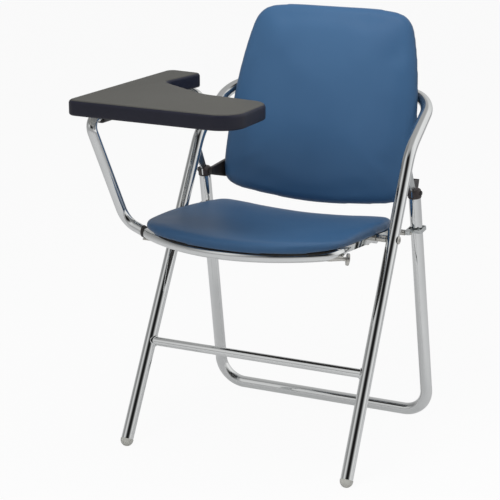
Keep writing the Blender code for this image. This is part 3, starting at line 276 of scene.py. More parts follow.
HANDS = {"right_hand": -1, "left_hand": 1}
RUNG_R = 0.00795
RUNG_Z = 0.177
RUNG_COPE = Vector((LEG_R * 0.62, 0, 0))
WELD_R = 0.0019
WELD_RING_R = RUNG_R + 0.0006
WELD_OUT = 0.0004
WELD_RIPPLE = 0.00025
WELD_RIPPLES = 16
rung_from = front_leg(-1, RUNG_Z) + RUNG_COPE
rung_to = front_leg(1, RUNG_Z) - RUNG_COPE
rung = bent_tube("rung", [(rung_from, 0), (rung_to, 0)], RUNG_R, 40)
fit(rung, chrome, "chrome_tube", "front_frame", "front_rung")

for hand, side in HANDS.items():
    joint = front_leg(side, RUNG_Z)
    bpy.ops.object.select_all(action="DESELECT")
    bpy.ops.mesh.primitive_torus_add(major_segments=48, minor_segments=10, major_radius=WELD_RING_R,
                                     minor_radius=WELD_R, location=(0, 0, 0), rotation=(0, math.pi / 2, 0))
    weld = bpy.context.object
    weld.name = "rung_weld_" + hand
    bpy.ops.object.transform_apply(location=True, rotation=True, scale=True)
    leg_aim = (front_leg(side, 1.0) - front_leg(side, 0.0)).normalized()
    for vertex in weld.data.vertices:
        across = vertex.co - leg_aim * vertex.co.dot(leg_aim)
        depth = math.sqrt(max(0.0, LEG_R ** 2 - across.y ** 2 - across.z ** 2))
        ripple = WELD_RIPPLE * math.sin(WELD_RIPPLES * math.atan2(vertex.co.z, vertex.co.y))
        vertex.co.x = vertex.co.x - side * (depth + WELD_OUT) + ripple
        vertex.co += joint
    close_up(weld, 60)
    fit(weld, chrome, "chrome_tube", "front_frame")


# FOOT CAPS
# Pale grey plugs of moulded plastic, pushed into the ends of the front legs.
# They are round below, and worn flat and a little dirty where they stand.

grey_plastic = Finish("grey_foot_plastic")
mould = grey_plastic.noise(grey_plastic.spot(), 420.0, 3.0)
scuff = grey_plastic.noise(grey_plastic.spot((1.0, 1.0, 3.0)), 55.0, 4.0)
low_down = grey_plastic.node("ShaderNodeSeparateXYZ", None, {0: grey_plastic.spot()}, 2)
dirt = grey_plastic.range(low_down, 0.010, 0.0, 0.0, 0.55) * scuff
grey_plastic.set({
    "Base Color": grey_plastic.mixed(dirt, (0.62, 0.62, 0.57, 1.0), (0.38, 0.37, 0.33, 1.0)),
    "Roughness": 0.46 + scuff * 0.14,
    "Normal": grey_plastic.bump(mould, 0.0001, 0.35),
})


def turned(name, profile, at, aim, sides):
    """A turned piece: profile points (radius, distance along the aim), drawn out ring by ring."""
    aim = Vector(aim).normalized()
    piece = start_round(name, profile[0][0], Vector(at) + aim * profile[0][1], aim, sides)
    for (radius, along), (next_radius, next_along) in zip(profile, profile[1:]):
        draw_out(aim * (next_along - along))
        share = next_radius / radius
        bpy.ops.transform.resize(value=(share, share, share), center_override=Vector(at) + aim * next_along)
    bpy.ops.object.mode_set(mode="OBJECT")
    close_up(piece, 32)
    return piece


def cut_flat(piece, at, facing):
    """Cut away what is in front of a plane and close the cut."""
    take_up(piece)
    bpy.ops.object.mode_set(mode="EDIT")
    bpy.ops.mesh.select_all(action="SELECT")
    bpy.ops.mesh.bisect(plane_co=at, plane_no=facing, use_fill=True, clear_outer=True)
    bpy.ops.object.mode_set(mode="OBJECT")


PLUG_R = 0.0117
PLUG_WORN = 0.0004
plug_profile = [(PLUG_R * math.sin(math.radians(angle)), -PLUG_R * math.cos(math.radians(angle)))
                for angle in range(6, 91, 7)]
plug_profile += [(PLUG_R, 0.0014), (PLUG_R - 0.0002, 0.0019), (PLUG_R - 0.0008, 0.0022), (LEG_R - 0.0008, 0.0022)]
for hand, side in HANDS.items():
    aim = front_leg(side, 1.0) - front_leg(side, 0.0)
    plug = turned("foot_plug_" + hand, plug_profile, front_leg(side, PLUG_R - PLUG_WORN), aim, 48)
    cut_flat(plug, (0, 0, 0), (0, 0, -1))
    close_up(plug, 40)
    fit(plug, grey_plastic, "grey_foot_plastic", "front_frame", "foot_cap_" + hand)


# REAR FRAME
# A 22 mm chromed steel tube, bent into a U that stands on its lower bar.
# It hinges at the top of its legs, in the slotted caps there.

REAR_FOOT_X = 0.221
REAR_FOOT_Y = 0.1917
REAR_TOE_IN = math.radians(0.64)
REAR_LEAN = math.radians(9.86)
REAR_PIVOT_Z = 0.458
REAR_BEND = 0.048
REAR_TOP = 0.005


def rear_leg_x(height):
    """How far a rear leg's axis is from the middle."""
    return REAR_FOOT_X - math.tan(REAR_TOE_IN) * (height - LEG_R)


def rear_leg(side, height):
    """A point on a rear leg's axis."""
    return place(side * rear_leg_x(height), REAR_FOOT_Y - math.tan(REAR_LEAN) * (height - LEG_R), height)


rear_ups = {side: (rear_leg(side, 1.0) - rear_leg(side, 0.0)).normalized() for side in (-1, 1)}
rear_corners = [
    (rear_leg(-1, REAR_PIVOT_Z) + rear_ups[-1] * REAR_TOP, 0),
    (rear_leg(-1, LEG_R), REAR_BEND),
    (rear_leg(1, LEG_R), REAR_BEND),
    (rear_leg(1, REAR_PIVOT_Z) + rear_ups[1] * REAR_TOP, 0),
]
fit(bent_tube("rear_tube", rear_corners, LEG_R), chrome, "chrome_tube", "rear_frame", "rear_frame_tube")


# HINGE CAPS
# Caps of dark brown moulded plastic, pushed on the tops of the rear legs.
# Each is slotted for the plate that carries it.

brown_plastic = Finish("brown_black_plastic")
cap_rub = brown_plastic.noise(brown_plastic.spot(), 80.0, 4.0)
brown_plastic.set({
    "Base Color": brown_plastic.mixed(cap_rub, (0.034, 0.026, 0.025, 1.0), (0.062, 0.050, 0.048, 1.0)),
    "Roughness": 0.40 + cap_rub * 0.16,
})
HINGE_CAP_R = 0.0127
SLOT_SIZE = (0.0036, 0.060, 0.040)
SLOT_RISE = 0.0129
hinge_profile = [(HINGE_CAP_R - 0.0008, -0.0092), (HINGE_CAP_R - 0.0003, -0.0085), (HINGE_CAP_R - 0.0003, 0.0030),
                 (HINGE_CAP_R - 0.0012, 0.0052), (HINGE_CAP_R - 0.0032, 0.0068), (HINGE_CAP_R - 0.006, 0.0075)]
GUSSET_X = (front_leg_x(REAR_PIVOT_Z) + rear_leg_x(REAR_PIVOT_Z)) / 2


def modify(piece, kind, **settings):
    """Add a modifier, set it up and apply it."""
    modifier = piece.modifiers.new(kind.lower(), kind)
    for name, setting in settings.items():
        setattr(modifier, name, setting)
    take_up(piece)
    bpy.ops.object.modifier_apply(modifier=modifier.name)


def box_cutter(size, at, turn):
    """A box that is used up in a cut."""
    bpy.ops.object.select_all(action="DESELECT")
    bpy.ops.mesh.primitive_cube_add(size=1.0, location=at, rotation=turn, scale=size)
    return bpy.context.object


def cut_out(piece, cutter):
    """Take a cutter's shape out of a piece and throw the cutter away."""
    modify(piece, "BOOLEAN", operation="DIFFERENCE", solver="EXACT", object=cutter)
    bpy.data.objects.remove(cutter, do_unlink=True)


for hand, side in HANDS.items():
    pivot = rear_leg(side, REAR_PIVOT_Z)
    cap = turned("hinge_cap_" + hand, hinge_profile, pivot, rear_ups[side], 48)
    slot_at = Vector((place(side * GUSSET_X, 0, 0).x, pivot.y, pivot.z)) + rear_ups[side] * SLOT_RISE
    cut_out(cap, box_cutter(SLOT_SIZE, slot_at, (REAR_LEAN, 0, 0)))
    modify(cap, "BEVEL", width=0.0004, segments=2, limit_method="ANGLE", angle_limit=math.radians(50))
    close_up(cap, 35)
    fit(cap, brown_plastic, "black_plastic", "rear_frame", "rear_cap_" + hand)


# HINGE PLATES AND PINS
# Dull-plated steel plates, welded behind the front legs.
# A dark rivet through each plate carries a rear leg by its cap.

dull_plate = Finish("dull_plated_steel")
plate_haze = dull_plate.noise(dull_plate.spot(), 70.0, 4.0)
dull_plate.set({
    "Metallic": 1.0,
    "Base Color": dull_plate.mixed(plate_haze, (0.50, 0.53, 0.53, 1.0), (0.62, 0.64, 0.64, 1.0)),
    "Roughness": 0.22 + plate_haze * 0.14,
})
black_plastic = Finish("black_moulded_plastic")
pebble = black_plastic.noise(black_plastic.spot(), 1100.0, 2.0)
rub = black_plastic.noise(black_plastic.spot(), 60.0, 4.0)
black_plastic.set({
    "Base Color": black_plastic.mixed(rub, (0.018, 0.016, 0.016, 1.0), (0.038, 0.033, 0.032, 1.0)),
    "Roughness": 0.36 + rub * 0.16,
    "Normal": black_plastic.bump(pebble, 0.0001, 0.3),
})
REAR_PIVOT_Y = 0.114025
PLAY = 0.0003


def eased(node, name, edge, smooth=35, segments=2):
    """A copy of a CAD solid with its faces merged and its edges eased."""
    bpy.ops.object.select_all(action="DESELECT")
    piece = bpy.data.objects.new(name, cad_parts[node].data.copy())
    bpy.context.scene.collection.objects.link(piece)
    take_up(piece)
    bpy.ops.object.mode_set(mode="EDIT")
    bpy.ops.mesh.select_all(action="SELECT")
    bpy.ops.mesh.remove_doubles(threshold=1e-5)
    bpy.ops.mesh.dissolve_limited(angle_limit=math.radians(1.5))
    bpy.ops.mesh.normals_make_consistent(inside=False)
    bpy.ops.object.mode_set(mode="OBJECT")
    modify(piece, "BEVEL", width=edge, segments=segments, limit_method="ANGLE", angle_limit=math.radians(40))
    close_up(piece, smooth)
    modify(piece, "WEIGHTED_NORMAL", keep_sharp=True)
    return piece


for hand, side in HANDS.items():
    plate = eased("gusset_" + hand, "hinge_plate_" + hand, 0.0006)
    fit(plate, dull_plate, "chrome_tube", "front_frame", "gusset_" + hand)
    pin_out = rear_leg_x(REAR_PIVOT_Z) + HINGE_CAP_R + PLAY
    pin_profile = [(0.0042, 0.1952), (0.0046, 0.1956), (0.0046, 0.1962), (0.0035, 0.1962), (0.0035, pin_out),
                   (0.0045, pin_out), (0.0044, pin_out + 0.0006), (0.0034, pin_out + 0.0013),
                   (0.0015, pin_out + 0.0016)]
    pin = turned("hinge_rivet_" + hand, pin_profile, place(0, REAR_PIVOT_Y, REAR_PIVOT_Z), (side, 0, 0), 28)
    fit(pin, black_plastic, "zinc_fastener", "front_frame", "rear_leg_pin_" + hand)


# BACK
# A vinyl-covered foam pad on a black moulded board, clipped to the bar behind it
# and held at its lower corners by folded black brackets.

vinyl = Finish("blue_vinyl")
tone = vinyl.noise(vinyl.spot(), 7.0, 2.0)
grain_cells = vinyl.node("ShaderNodeTexVoronoi", {"feature": "DISTANCE_TO_EDGE"},
                         {"Vector": vinyl.spot(), "Scale": 950.0, "Randomness": 1.0})
grain = vinyl.range(grain_cells, 0.0, 0.16)
pores = vinyl.noise(vinyl.spot(), 2600.0, 2.0)
vinyl.set({
    "Base Color": vinyl.mixed(vinyl.range(tone, 0.35, 0.65) * 0.55 + (1 - grain) * 0.10,
                              (0.039, 0.104, 0.212, 1.0), (0.047, 0.120, 0.236, 1.0)),
    "Roughness": 0.36 + pores * 0.06 + (1 - grain) * 0.05,
    "Normal": vinyl.bump(grain * 0.7 + pores * 0.3, 0.00006, 0.35),
    "Specular IOR Level": 0.36,
})


def mirrored_outline(half, rounds=4):
    """A smooth closed outline from half a control polygon, by corner cutting."""
    points = [Vector(point) for point in half] + [Vector((-x, y)) for x, y in reversed(half[1:-1])]
    for _ in range(rounds):
        points = [a.lerp(b, share) for a, b in zip(points, points[1:] + points[:1]) for share in (0.25, 0.75)]
    return points


def drawn_in(outline, inset):
    """An outline moved inwards."""
    count = len(outline)
    middle = sum(outline, Vector((0, 0))) / count
    result = []
    for index, point in enumerate(outline):
        along = (outline[(index + 1) % count] - outline[index - 1]).normalized()
        inward = Vector((-along.y, along.x))
        result.append(point + inward * inset * (1 if inward.dot(middle - point) > 0 else -1))
    return result


def stacked(name, rings, frame_at):
    """A thick piece built up from rings of points (x, y, height) in a plane, each drawn out from the one below."""
    rings = [[frame_at @ Vector(point) for point in ring] for ring in rings]
    piece = start_round(name, 0.1, (0, 0, 0), (0, 0, 1), len(rings[0]))
    bpy.ops.object.mode_set(mode="OBJECT")
    for vertex, point in zip(piece.data.vertices, rings[0]):
        vertex.co = point
    for below, above in zip(rings, rings[1:]):
        bpy.ops.object.mode_set(mode="EDIT")
        draw_out((0, 0, 0))
        bpy.ops.object.mode_set(mode="OBJECT")
        for vertex in piece.data.vertices:
            if vertex.select:
                nearest = min(range(len(below)), key=lambda index: (below[index] - vertex.co).length_squared)
                vertex.co = above[nearest]
    close_up(piece, 35)
    return piece


def pad_rings(outline, rim, crown, roll, dish=lambda x: 0.0):
    """Rings for a pad: its rim (inset, height), then a top that rises by a crown within a roll from the rim."""
    rings = [[(x, y, height + dish(x)) for x, y in drawn_in(outline, inset)] for inset, height in rim]
    edge = drawn_in(outline, rim[-1][0])
    middle = sum(edge, Vector((0, 0))) / len(edge)
    for share in (0.985, 0.965, 0.94, 0.91, 0.87, 0.82, 0.75, 0.66, 0.54, 0.40, 0.25, 0.10):
        ring = []
        for point in edge:
            spot = middle.lerp(point, share)
            near = min(1.0, (spot - point).length / roll)
            ring.append((spot.x, spot.y, rim[-1][1] + crown * (1 - (1 - near) ** 2) + dish(spot.x)))
        rings.append(ring)
    return rings


CLOTH_STEPS = 20
EVENING_ROUNDS = 24


def plump(pad, held, limit):
    """Fill a pad's cover by cloth pressure. held(point) says where the cover is fixed to its board.

    limit is how far the cover may swell. The swelling is evened out, so that the cover shows no pucker.
    """
    pad.data.remesh_voxel_size = 0.0045
    take_up(pad)
    bpy.ops.object.voxel_remesh()
    modify(pad, "SMOOTH", factor=0.5, iterations=5)
    fixed = pad.vertex_groups.new(name="fixed")
    fixed.add([v.index for v in pad.data.vertices if held(v.co)], 1.0, "REPLACE")
    cloth = pad.modifiers.new("filling", "CLOTH")
    cloth.settings.quality = 6
    cloth.settings.mass = 0.35
    cloth.settings.tension_stiffness = 30.0
    cloth.settings.compression_stiffness = 30.0
    cloth.settings.shear_stiffness = 20.0
    cloth.settings.bending_stiffness = 6.0
    cloth.settings.use_pressure = True
    cloth.settings.uniform_pressure_force = 4.0
    cloth.settings.effector_weights.gravity = 0.0
    cloth.settings.vertex_group_mass = "fixed"
    cloth.collision_settings.use_collision = False
    cloth.point_cache.frame_start = 1
    cloth.point_cache.frame_end = CLOTH_STEPS
    for step in range(1, CLOTH_STEPS + 1):
        bpy.context.scene.frame_set(step)
    filled = pad.evaluated_get(bpy.context.evaluated_depsgraph_get())
    swell = [min(limit, max(0.0, (end.co - start.co).dot(start.normal)))
             for start, end in zip(pad.data.vertices, filled.data.vertices)]
    pad.modifiers.remove(cloth)
    bpy.context.scene.frame_set(1)
    beside = [[] for _ in pad.data.vertices]
    for edge in pad.data.edges:
        beside[edge.vertices[0]].append(edge.vertices[1])
        beside[edge.vertices[1]].append(edge.vertices[0])
    for _ in range(EVENING_ROUNDS):
        swell = [0.5 * own + 0.5 * sum(swell[index] for index in around) / len(around)
                 for own, around in zip(swell, beside)]
    moves = [vertex.normal * amount for vertex, amount in zip(pad.data.vertices, swell)]
    for vertex, move in zip(pad.data.vertices, moves):
        vertex.co += move
    modify(pad, "SMOOTH", factor=0.5, iterations=4)
    modify(pad, "SUBSURF", levels=1, render_levels=1)
    bpy.ops.object.shade_smooth()


BACK_LEAN = math.radians(16.0)
back_up = Vector((0, math.sin(BACK_LEAN), math.cos(BACK_LEAN)))
back_ahead = Vector((0, -math.cos(BACK_LEAN), math.sin(BACK_LEAN)))
back_middle = place(0, 0.1930, 0.6040)
back_half = ((0.000, 0.1715), (0.108, 0.1720), (0.156, 0.159), (0.173, 0.105), (0.187, 0.020), (0.1925, -0.060),
             (0.1945, -0.145), (0.183, -0.183), (0.105, -0.1935), (0.000, -0.202))
BACK_CROWN = 0.0110
BACK_ROLL = 0.150
back_rim = ((0.0070, -0.0070), (0.0040, -0.0065), (0.0015, -0.0045), (0.0003, -0.0020), (0.0, 0.0),
            (0.0002, 0.0023), (0.0012, 0.0048), (0.0030, 0.0078), (0.0055, 0.0104), (0.0090, 0.0126), (0.0140, 0.0146))
back_frame = Matrix.Translation(back_middle) @ Matrix((Vector((1, 0, 0)), back_up, back_ahead)).transposed().to_4x4()
back_rings = pad_rings(mirrored_outline(back_half), back_rim, BACK_CROWN, BACK_ROLL)
back_pad = stacked("back_pad", back_rings, back_frame)
plump(back_pad, lambda point: (point - back_middle).dot(back_ahead) < -0.0045, 0.004)
fit(back_pad, vinyl, "blue_vinyl", "front_frame", "back_cushion")

back_shell = eased("back_board", "back_shell", 0.0014, 40, 3)
fit(back_shell, black_plastic, "black_plastic", "front_frame", "back_board")
for hand in HANDS:
    bracket = eased("back_bracket_" + hand, "back_fork_" + hand, 0.0007)
    fit(bracket, black_plastic, "black_plastic", "front_frame", "back_bracket_" + hand)
    clip = eased("back_clip_" + hand, "bar_clip_" + hand, 0.0007)
    fit(clip, black_plastic, "black_plastic", "front_frame", "back_clip_" + hand)


# SCREWS
# Zinc-plated steel screws with pan heads and a cross recess.
# Six hold the back's board, four the seat's and four the tablet's clips; each is driven to its own angle.

zinc = Finish("zinc_plate")
plating = zinc.noise(zinc.spot(), 90.0, 4.0)
zinc.set({
    "Metallic": 1.0,
    "Base Color": zinc.mixed(plating, (0.52, 0.51, 0.47, 1.0), (0.66, 0.65, 0.62, 1.0)),
    "Roughness": 0.24 + plating * 0.16,
})

SEAT_TILT = math.radians(4.5)
seat_back = Vector((0, math.cos(SEAT_TILT), -math.sin(SEAT_TILT)))
seat_up = Vector((0, math.sin(SEAT_TILT), math.cos(SEAT_TILT)))
HEAD_R = 0.0038
HEAD_H = 0.0022
screw_profile = [(HEAD_R * 0.35, -HEAD_H), (HEAD_R * 0.72, -0.00205), (HEAD_R * 0.93, -0.0014), (HEAD_R, -0.0008),
                 (HEAD_R, -0.0003), (0.0018, -0.0003), (0.0018, 0.0080)]
pattern_screw = turned("pattern_screw", screw_profile, (0, 0, 0), (0, 0, 1), 28)
for quarter in (0.0, math.pi / 2):
    cut_out(pattern_screw, box_cutter((0.0042, 0.0009, HEAD_H), (0, 0, -HEAD_H), (0, 0, quarter)))
close_up(pattern_screw, 32)
screw_groups = (("back_screw_", 6, back_ahead, "front_frame"), ("seat_screw_", 4, seat_up, "seat"),
                ("tablet_screw_", 4, Vector((0, 0, 1)), "tablet"))
for group, count, aim, body in screw_groups:
    for number in range(1, count + 1):
        node = group + str(number)
        ends = [vertex.co.dot(aim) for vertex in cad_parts[node].data.vertices]
        low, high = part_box(node)
        centre = (low + high) / 2
        seat_at = centre + aim * (min(ends) + HEAD_H - centre.dot(aim))
        screw = bpy.data.objects.new(node + "_driven", pattern_screw.data.copy())
        bpy.context.scene.collection.objects.link(screw)
        turn = aim.to_track_quat("Z", "Y").to_matrix().to_4x4() @ Matrix.Rotation(0.7 * number, 4, "Z")
        screw.data.transform(Matrix.Translation(seat_at) @ turn)
        fit(screw, zinc, "zinc_fastener", body, node)
bpy.data.objects.remove(pattern_screw, do_unlink=True)


# SEAT FRAME
# A bowed 19 mm chromed bar, turned back and flattened into the sitter's left rail, with flat chromed side rails
# and a rail across at the back. A tapered stud with a ring stands out of the bar's bend.

ARM_R = 0.00955
BAR_Z = 0.3936
BAR_HALF = 0.1985
BAR_BOW = 0.073
BAR_END_Y = -0.137


def bar_point(x):
    """A point on the bowed bar's axis."""
    return place(x, BAR_END_Y - BAR_BOW * (1 - (x / BAR_HALF) ** 2), BAR_Z)


def bar_slope(x):
    """The direction of the bar at a point, drawn out to one metre of x."""
    return Vector((1.0, 2 * BAR_BOW * x / BAR_HALF ** 2, 0.0))


bpy.ops.object.select_all(action="DESELECT")
bpy.ops.curve.primitive_bezier_curve_add(location=(0, 0, 0))
bar = bpy.context.object
bar.name = "seat_bar"
bar.data.bevel_depth = ARM_R
bar.data.bevel_resolution = 10
bar.data.resolution_u = 60
bar.data.use_fill_caps = True
bar.data.splines[0].bezier_points.add(2)
bar_from = -0.2085
bar_cut = -0.1987
bar_bend = 0.146
third = (bar_bend - bar_from) / 3
rise = Vector((0, 0, 0.0058))
bar_knots = (
    (bar_point(bar_from), bar_slope(bar_from) * third, bar_slope(bar_from) * third, 1.0),
    (bar_point(bar_bend) + rise, bar_slope(bar_bend) * third + rise * 0.8,
     bar_slope(bar_bend) * 0.018 + rise * 0.2, 1.0),
    (place(0.1805, -0.1340, 0.4024), Vector((0, 0.019, 0.0010)), Vector((0, 0.010, 0.0005)), 1.0),
    (place(0.1810, -0.0960, 0.4020), Vector((0, 0.012, 0.0)), Vector((0, 0.010, 0.0)), 0.42),
)
for point, (at, before, after, size) in zip(bar.data.splines[0].bezier_points, bar_knots):
    point.handle_left_type = "FREE"
    point.handle_right_type = "FREE"
    point.co = at
    point.handle_left = at - before
    point.handle_right = at + after
    point.radius = size
bpy.ops.object.convert(target="MESH")
cut_flat(bar, bar_point(bar_cut), (-1, 0, 0))
close_up(bar, 40)
fit(bar, chrome, "chrome_tube", "seat", "seat_front_bar")

stud_profile = [(0.0070, 0.0020), (0.0076, 0.0060), (0.0074, 0.0140), (0.0052, 0.0265), (0.0039, 0.0340),
                (0.0036, 0.0370), (0.0036, 0.0420), (0.0098, 0.0420), (0.0106, 0.0427), (0.0106, 0.0463),
                (0.0098, 0.0470), (0.0056, 0.0470), (0.0050, 0.0479), (0.0030, 0.0483)]
stud = turned("bar_end_ring", stud_profile, place(0.1600, -0.1626, 0.4000), (0.037, 0.022, -0.0065), 40)
fit(stud, zinc, "zinc_fastener", "seat", "front_bar_end_ring")

for hand in HANDS:
    rail = eased("seat_rail_" + hand, "side_rail_" + hand, 0.0010)
    fit(rail, chrome, "chrome_tube", "seat", "seat_rail_" + hand)
cross_rail = eased("seat_cross_rail", "cross_rail", 0.0018, 35, 3)
fit(cross_rail, chrome, "chrome_tube", "seat", "seat_cross_rail")


# SEAT PIVOTS AND GUIDES
# Zinc-plated bolts with domed heads, put through the front legs, carry the rails on sleeves.
# Small plated loops on the rear legs are pinned to the rails' rear ends.

SEAT_PIVOT_Z = 0.393
GUIDE_PIN_Y = 0.1035
GUIDE_PIN_Z = 0.384
LOOP_WALL = 0.0022
LOOP_HEIGHT_SHARE = 0.68
leg_x = front_leg_x(SEAT_PIVOT_Z)
head = leg_x + LEG_R + PLAY
sleeve_end = leg_x - LEG_R - PLAY
loop_x = rear_leg_x(GUIDE_PIN_Z) - LEG_R - LOOP_WALL
for hand, side in HANDS.items():
    bolt_profile = [(0.0042, 0.1742), (0.0049, 0.1747), (0.0049, 0.1767), (0.0040, 0.1767), (0.0040, head),
                    (0.0070, head), (0.0074, head + 0.0004), (0.0072, head + 0.0010), (0.0062, head + 0.0017),
                    (0.0045, head + 0.0021), (0.0026, head + 0.0022), (0.0023, head + 0.0014)]
    pivot = place(0, SEAT_PIVOT_Y, SEAT_PIVOT_Z)
    bolt = turned("seat_bolt_" + hand, bolt_profile, pivot, (side, 0, 0), 40)
    fit(bolt, zinc, "zinc_fastener", "front_frame", "seat_pivot_bolt_" + hand)
    sleeve_profile = [(0.0058, 0.1853), (0.0064, 0.1859), (0.0064, 0.1920), (0.0060, 0.1924), (0.0060, 0.1932),
                      (0.0064, 0.1936), (0.0064, sleeve_end - 0.0006), (0.0058, sleeve_end)]
    sleeve = turned("seat_sleeve_" + hand, sleeve_profile, pivot, (side, 0, 0), 36)
    fit(sleeve, zinc, "zinc_fastener", "seat", "seat_spacer_" + hand)
    guide_profile = [(0.0058, 0.1734), (0.0065, 0.1740), (0.0065, 0.1767), (0.0030, 0.1767), (0.0030, 0.1853),
                     (0.0052, 0.1853), (0.0052, loop_x - PLAY), (0.0030, loop_x - PLAY),
                     (0.0030, loop_x + 0.0121), (0.0024, loop_x + 0.0125)]
    guide_at = place(0, GUIDE_PIN_Y, GUIDE_PIN_Z)
    guide_pin = turned("guide_pin_" + hand, guide_profile, guide_at, (side, 0, 0), 32)
    fit(guide_pin, zinc, "zinc_fastener", "seat", "guide_bolt_" + hand)
    loop = eased("leg_guide_" + hand, "leg_loop_" + hand, 0.0004)
    loop_low, loop_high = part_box("leg_guide_" + hand)
    bpy.ops.object.mode_set(mode="EDIT")
    bpy.ops.mesh.select_all(action="SELECT")
    bpy.ops.transform.resize(value=(1.0, 1.0, LOOP_HEIGHT_SHARE), center_override=(loop_low + loop_high) / 2)
    bpy.ops.object.mode_set(mode="OBJECT")
    body = "guide_left" if side > 0 else "guide_right"
    fit(loop, dull_plate, "zinc_fastener", body, "leg_guide_" + hand)


# SEAT
# A dished plywood board, screwed to the rails and stained near-black, partly as painted shade for the shadow line under
# the pad's front edge, with a vinyl-covered foam pad whose cover is drawn over the board's edge and fixed there.

plywood = Finish("stain_and_shade_plywood")
fibre = plywood.noise(plywood.spot((60.0, 2.2, 60.0)), 4.0, 6.0, 0.6)
figure = plywood.noise(plywood.spot((9.0, 0.8, 9.0)), 2.0, 3.0)
# The near-black is partly the board's own stain and partly painted shade: it darkens the board so that its edge under
# the pad reads as a shadow line.
plywood.set({
    "Base Color": plywood.mixed(plywood.range(fibre * 0.6 + figure * 0.4, 0.3, 0.7),
                                (0.014, 0.012, 0.011, 1.0), (0.034, 0.029, 0.025, 1.0)),
    "Roughness": 0.60 + fibre * 0.15,
    "Normal": plywood.bump(fibre, 0.0004, 0.3),
})
seat_board = eased("seat_board", "seat_panel", 0.0008)
fit(seat_board, plywood, "plywood_board", "seat", "seat_board")

SEAT_DISH = 0.0115
DISH_HALF = 0.177
SEAT_CROWN = 0.0016
SEAT_ROLL = 0.120
PAD_LOW = 0.0058
COVER_HELD = 0.004
PAD_HEIGHT = 0.016
CORNER_DROP = 0.005
CORNER_X, CORNER_Y = 0.192, -0.165
CORNER_WIDTH, CORNER_DEPTH = 0.045, 0.070


def seat_dish(x):
    """How far the seat dips across its width."""
    return SEAT_DISH * ((x / DISH_HALF) ** 2 - 1)


seat_half = ((0.000, -0.243), (0.105, -0.236), (0.158, -0.214), (0.1855, -0.182), (0.1925, -0.138), (0.1915, -0.055),
             (0.187, 0.045), (0.176, 0.103), (0.090, 0.107), (0.000, 0.106))
seat_rim = ((0.0066, PAD_LOW), (0.0045, PAD_LOW - 0.0014), (0.0025, PAD_LOW - 0.0012), (0.0010, PAD_LOW + 0.0006),
            (0.0002, PAD_LOW + 0.0035), (0.0, PAD_LOW + 0.0068), (0.0010, PAD_LOW + 0.0114), (0.0027, PAD_LOW + 0.0141),
            (0.0050, PAD_LOW + 0.0161), (0.0085, PAD_LOW + 0.0179), (0.0130, PAD_LOW + 0.0190))
seat_origin = place(0, SEAT_PIVOT_Y, SEAT_PIVOT_Z)
seat_frame = Matrix.Translation(seat_origin) @ Matrix((Vector((1, 0, 0)), seat_back, seat_up)).transposed().to_4x4()
seat_rings = []
for ring in pad_rings(mirrored_outline(seat_half), seat_rim, SEAT_CROWN, SEAT_ROLL, seat_dish):
    lowered = []
    for x, y, height in ring:
        corner = math.exp(-((abs(x) - CORNER_X) / CORNER_WIDTH) ** 2 - ((y - CORNER_Y) / CORNER_DEPTH) ** 2)
        above_board = max(0.0, height - seat_dish(x) - PAD_LOW - COVER_HELD) / PAD_HEIGHT
        lowered.append((x, y, height - CORNER_DROP * corner * min(1.0, above_board)))
    seat_rings.append(lowered)
seat_pad = stacked("seat_pad", seat_rings, seat_frame)


def on_board(point):
    """Where the cover is fixed: round the board's edge and below."""
    x, _, height = seat_frame.inverted() @ point
    return height - seat_dish(x) < PAD_LOW + COVER_HELD


plump(seat_pad, on_board, 0.0018)
fit(seat_pad, vinyl, "blue_vinyl", "seat", "seat_cushion")


# TABLET ARM
# A 19 mm chromed steel tube: a straight run under the board, a strut down to the seat's front bar,
# and a crook at the back that turns on a bolt through the frame. Its foot has a black plastic tip.

arm_foot = place(-0.1995, -0.136263, BAR_Z)
arm_knee = place(-0.2492, -0.125, 0.4076)
arm_tail = (arm_foot - arm_knee).normalized()
KNEE_BEND = 0.036
ARM_X = -0.286
ARM_FRONT_Y = -0.184
FRONT_BEND = 0.020
ARM_Z = 0.601
ARM_PIVOT = (0.138, 0.566652)
CROOK_X = -0.235342
CROOK_BEND = 0.021
ARM_CUT_X = -0.2072
TIP_INNER_X = -0.1989
TIP_OUTER_X = -0.2070
CROOK_END_Z = ARM_PIVOT[1] - 0.0130
arm_corners = [
    (arm_foot + arm_tail * ARM_R, 0),
    (arm_knee, KNEE_BEND),
    (place(ARM_X, ARM_FRONT_Y, ARM_Z), FRONT_BEND),
    (place(ARM_X, ARM_PIVOT[0], ARM_Z), CROOK_BEND),
    (place(CROOK_X, ARM_PIVOT[0], ARM_Z), CROOK_BEND),
    (place(CROOK_X, ARM_PIVOT[0], CROOK_END_Z), 0),
]
arm = bent_tube("arm_tube", arm_corners, ARM_R)
cut_flat(arm, place(ARM_CUT_X, 0, 0), (1, 0, 0))
close_up(arm, 40)
fit(arm, chrome, "chrome_tube", "tablet_arm", "tablet_arm_tube")

tip = turned("arm_tip", [(0.0101, -0.030), (0.0104, -0.025), (0.0104, 0.020)], arm_foot, arm_tail, 40)
cut_flat(tip, place(TIP_INNER_X, 0, 0), (1, 0, 0))
cut_flat(tip, place(TIP_OUTER_X, 0, 0), (-1, 0, 0))
modify(tip, "BEVEL", width=0.0005, segments=2, limit_method="ANGLE", angle_limit=math.radians(50))
close_up(tip, 35)
fit(tip, black_plastic, "black_plastic", "tablet_arm", "arm_foot_tip")

end_profile = [(0.0088, 0.0), (0.0093, 0.0004), (0.0090, 0.0010), (0.0070, 0.0018), (0.0030, 0.0022)]
end_plug = turned("arm_end_plug", end_profile, place(CROOK_X, ARM_PIVOT[0], CROOK_END_Z), (0, 0, -1), 40)
fit(end_plug, black_plastic, "black_plastic", "tablet_arm")

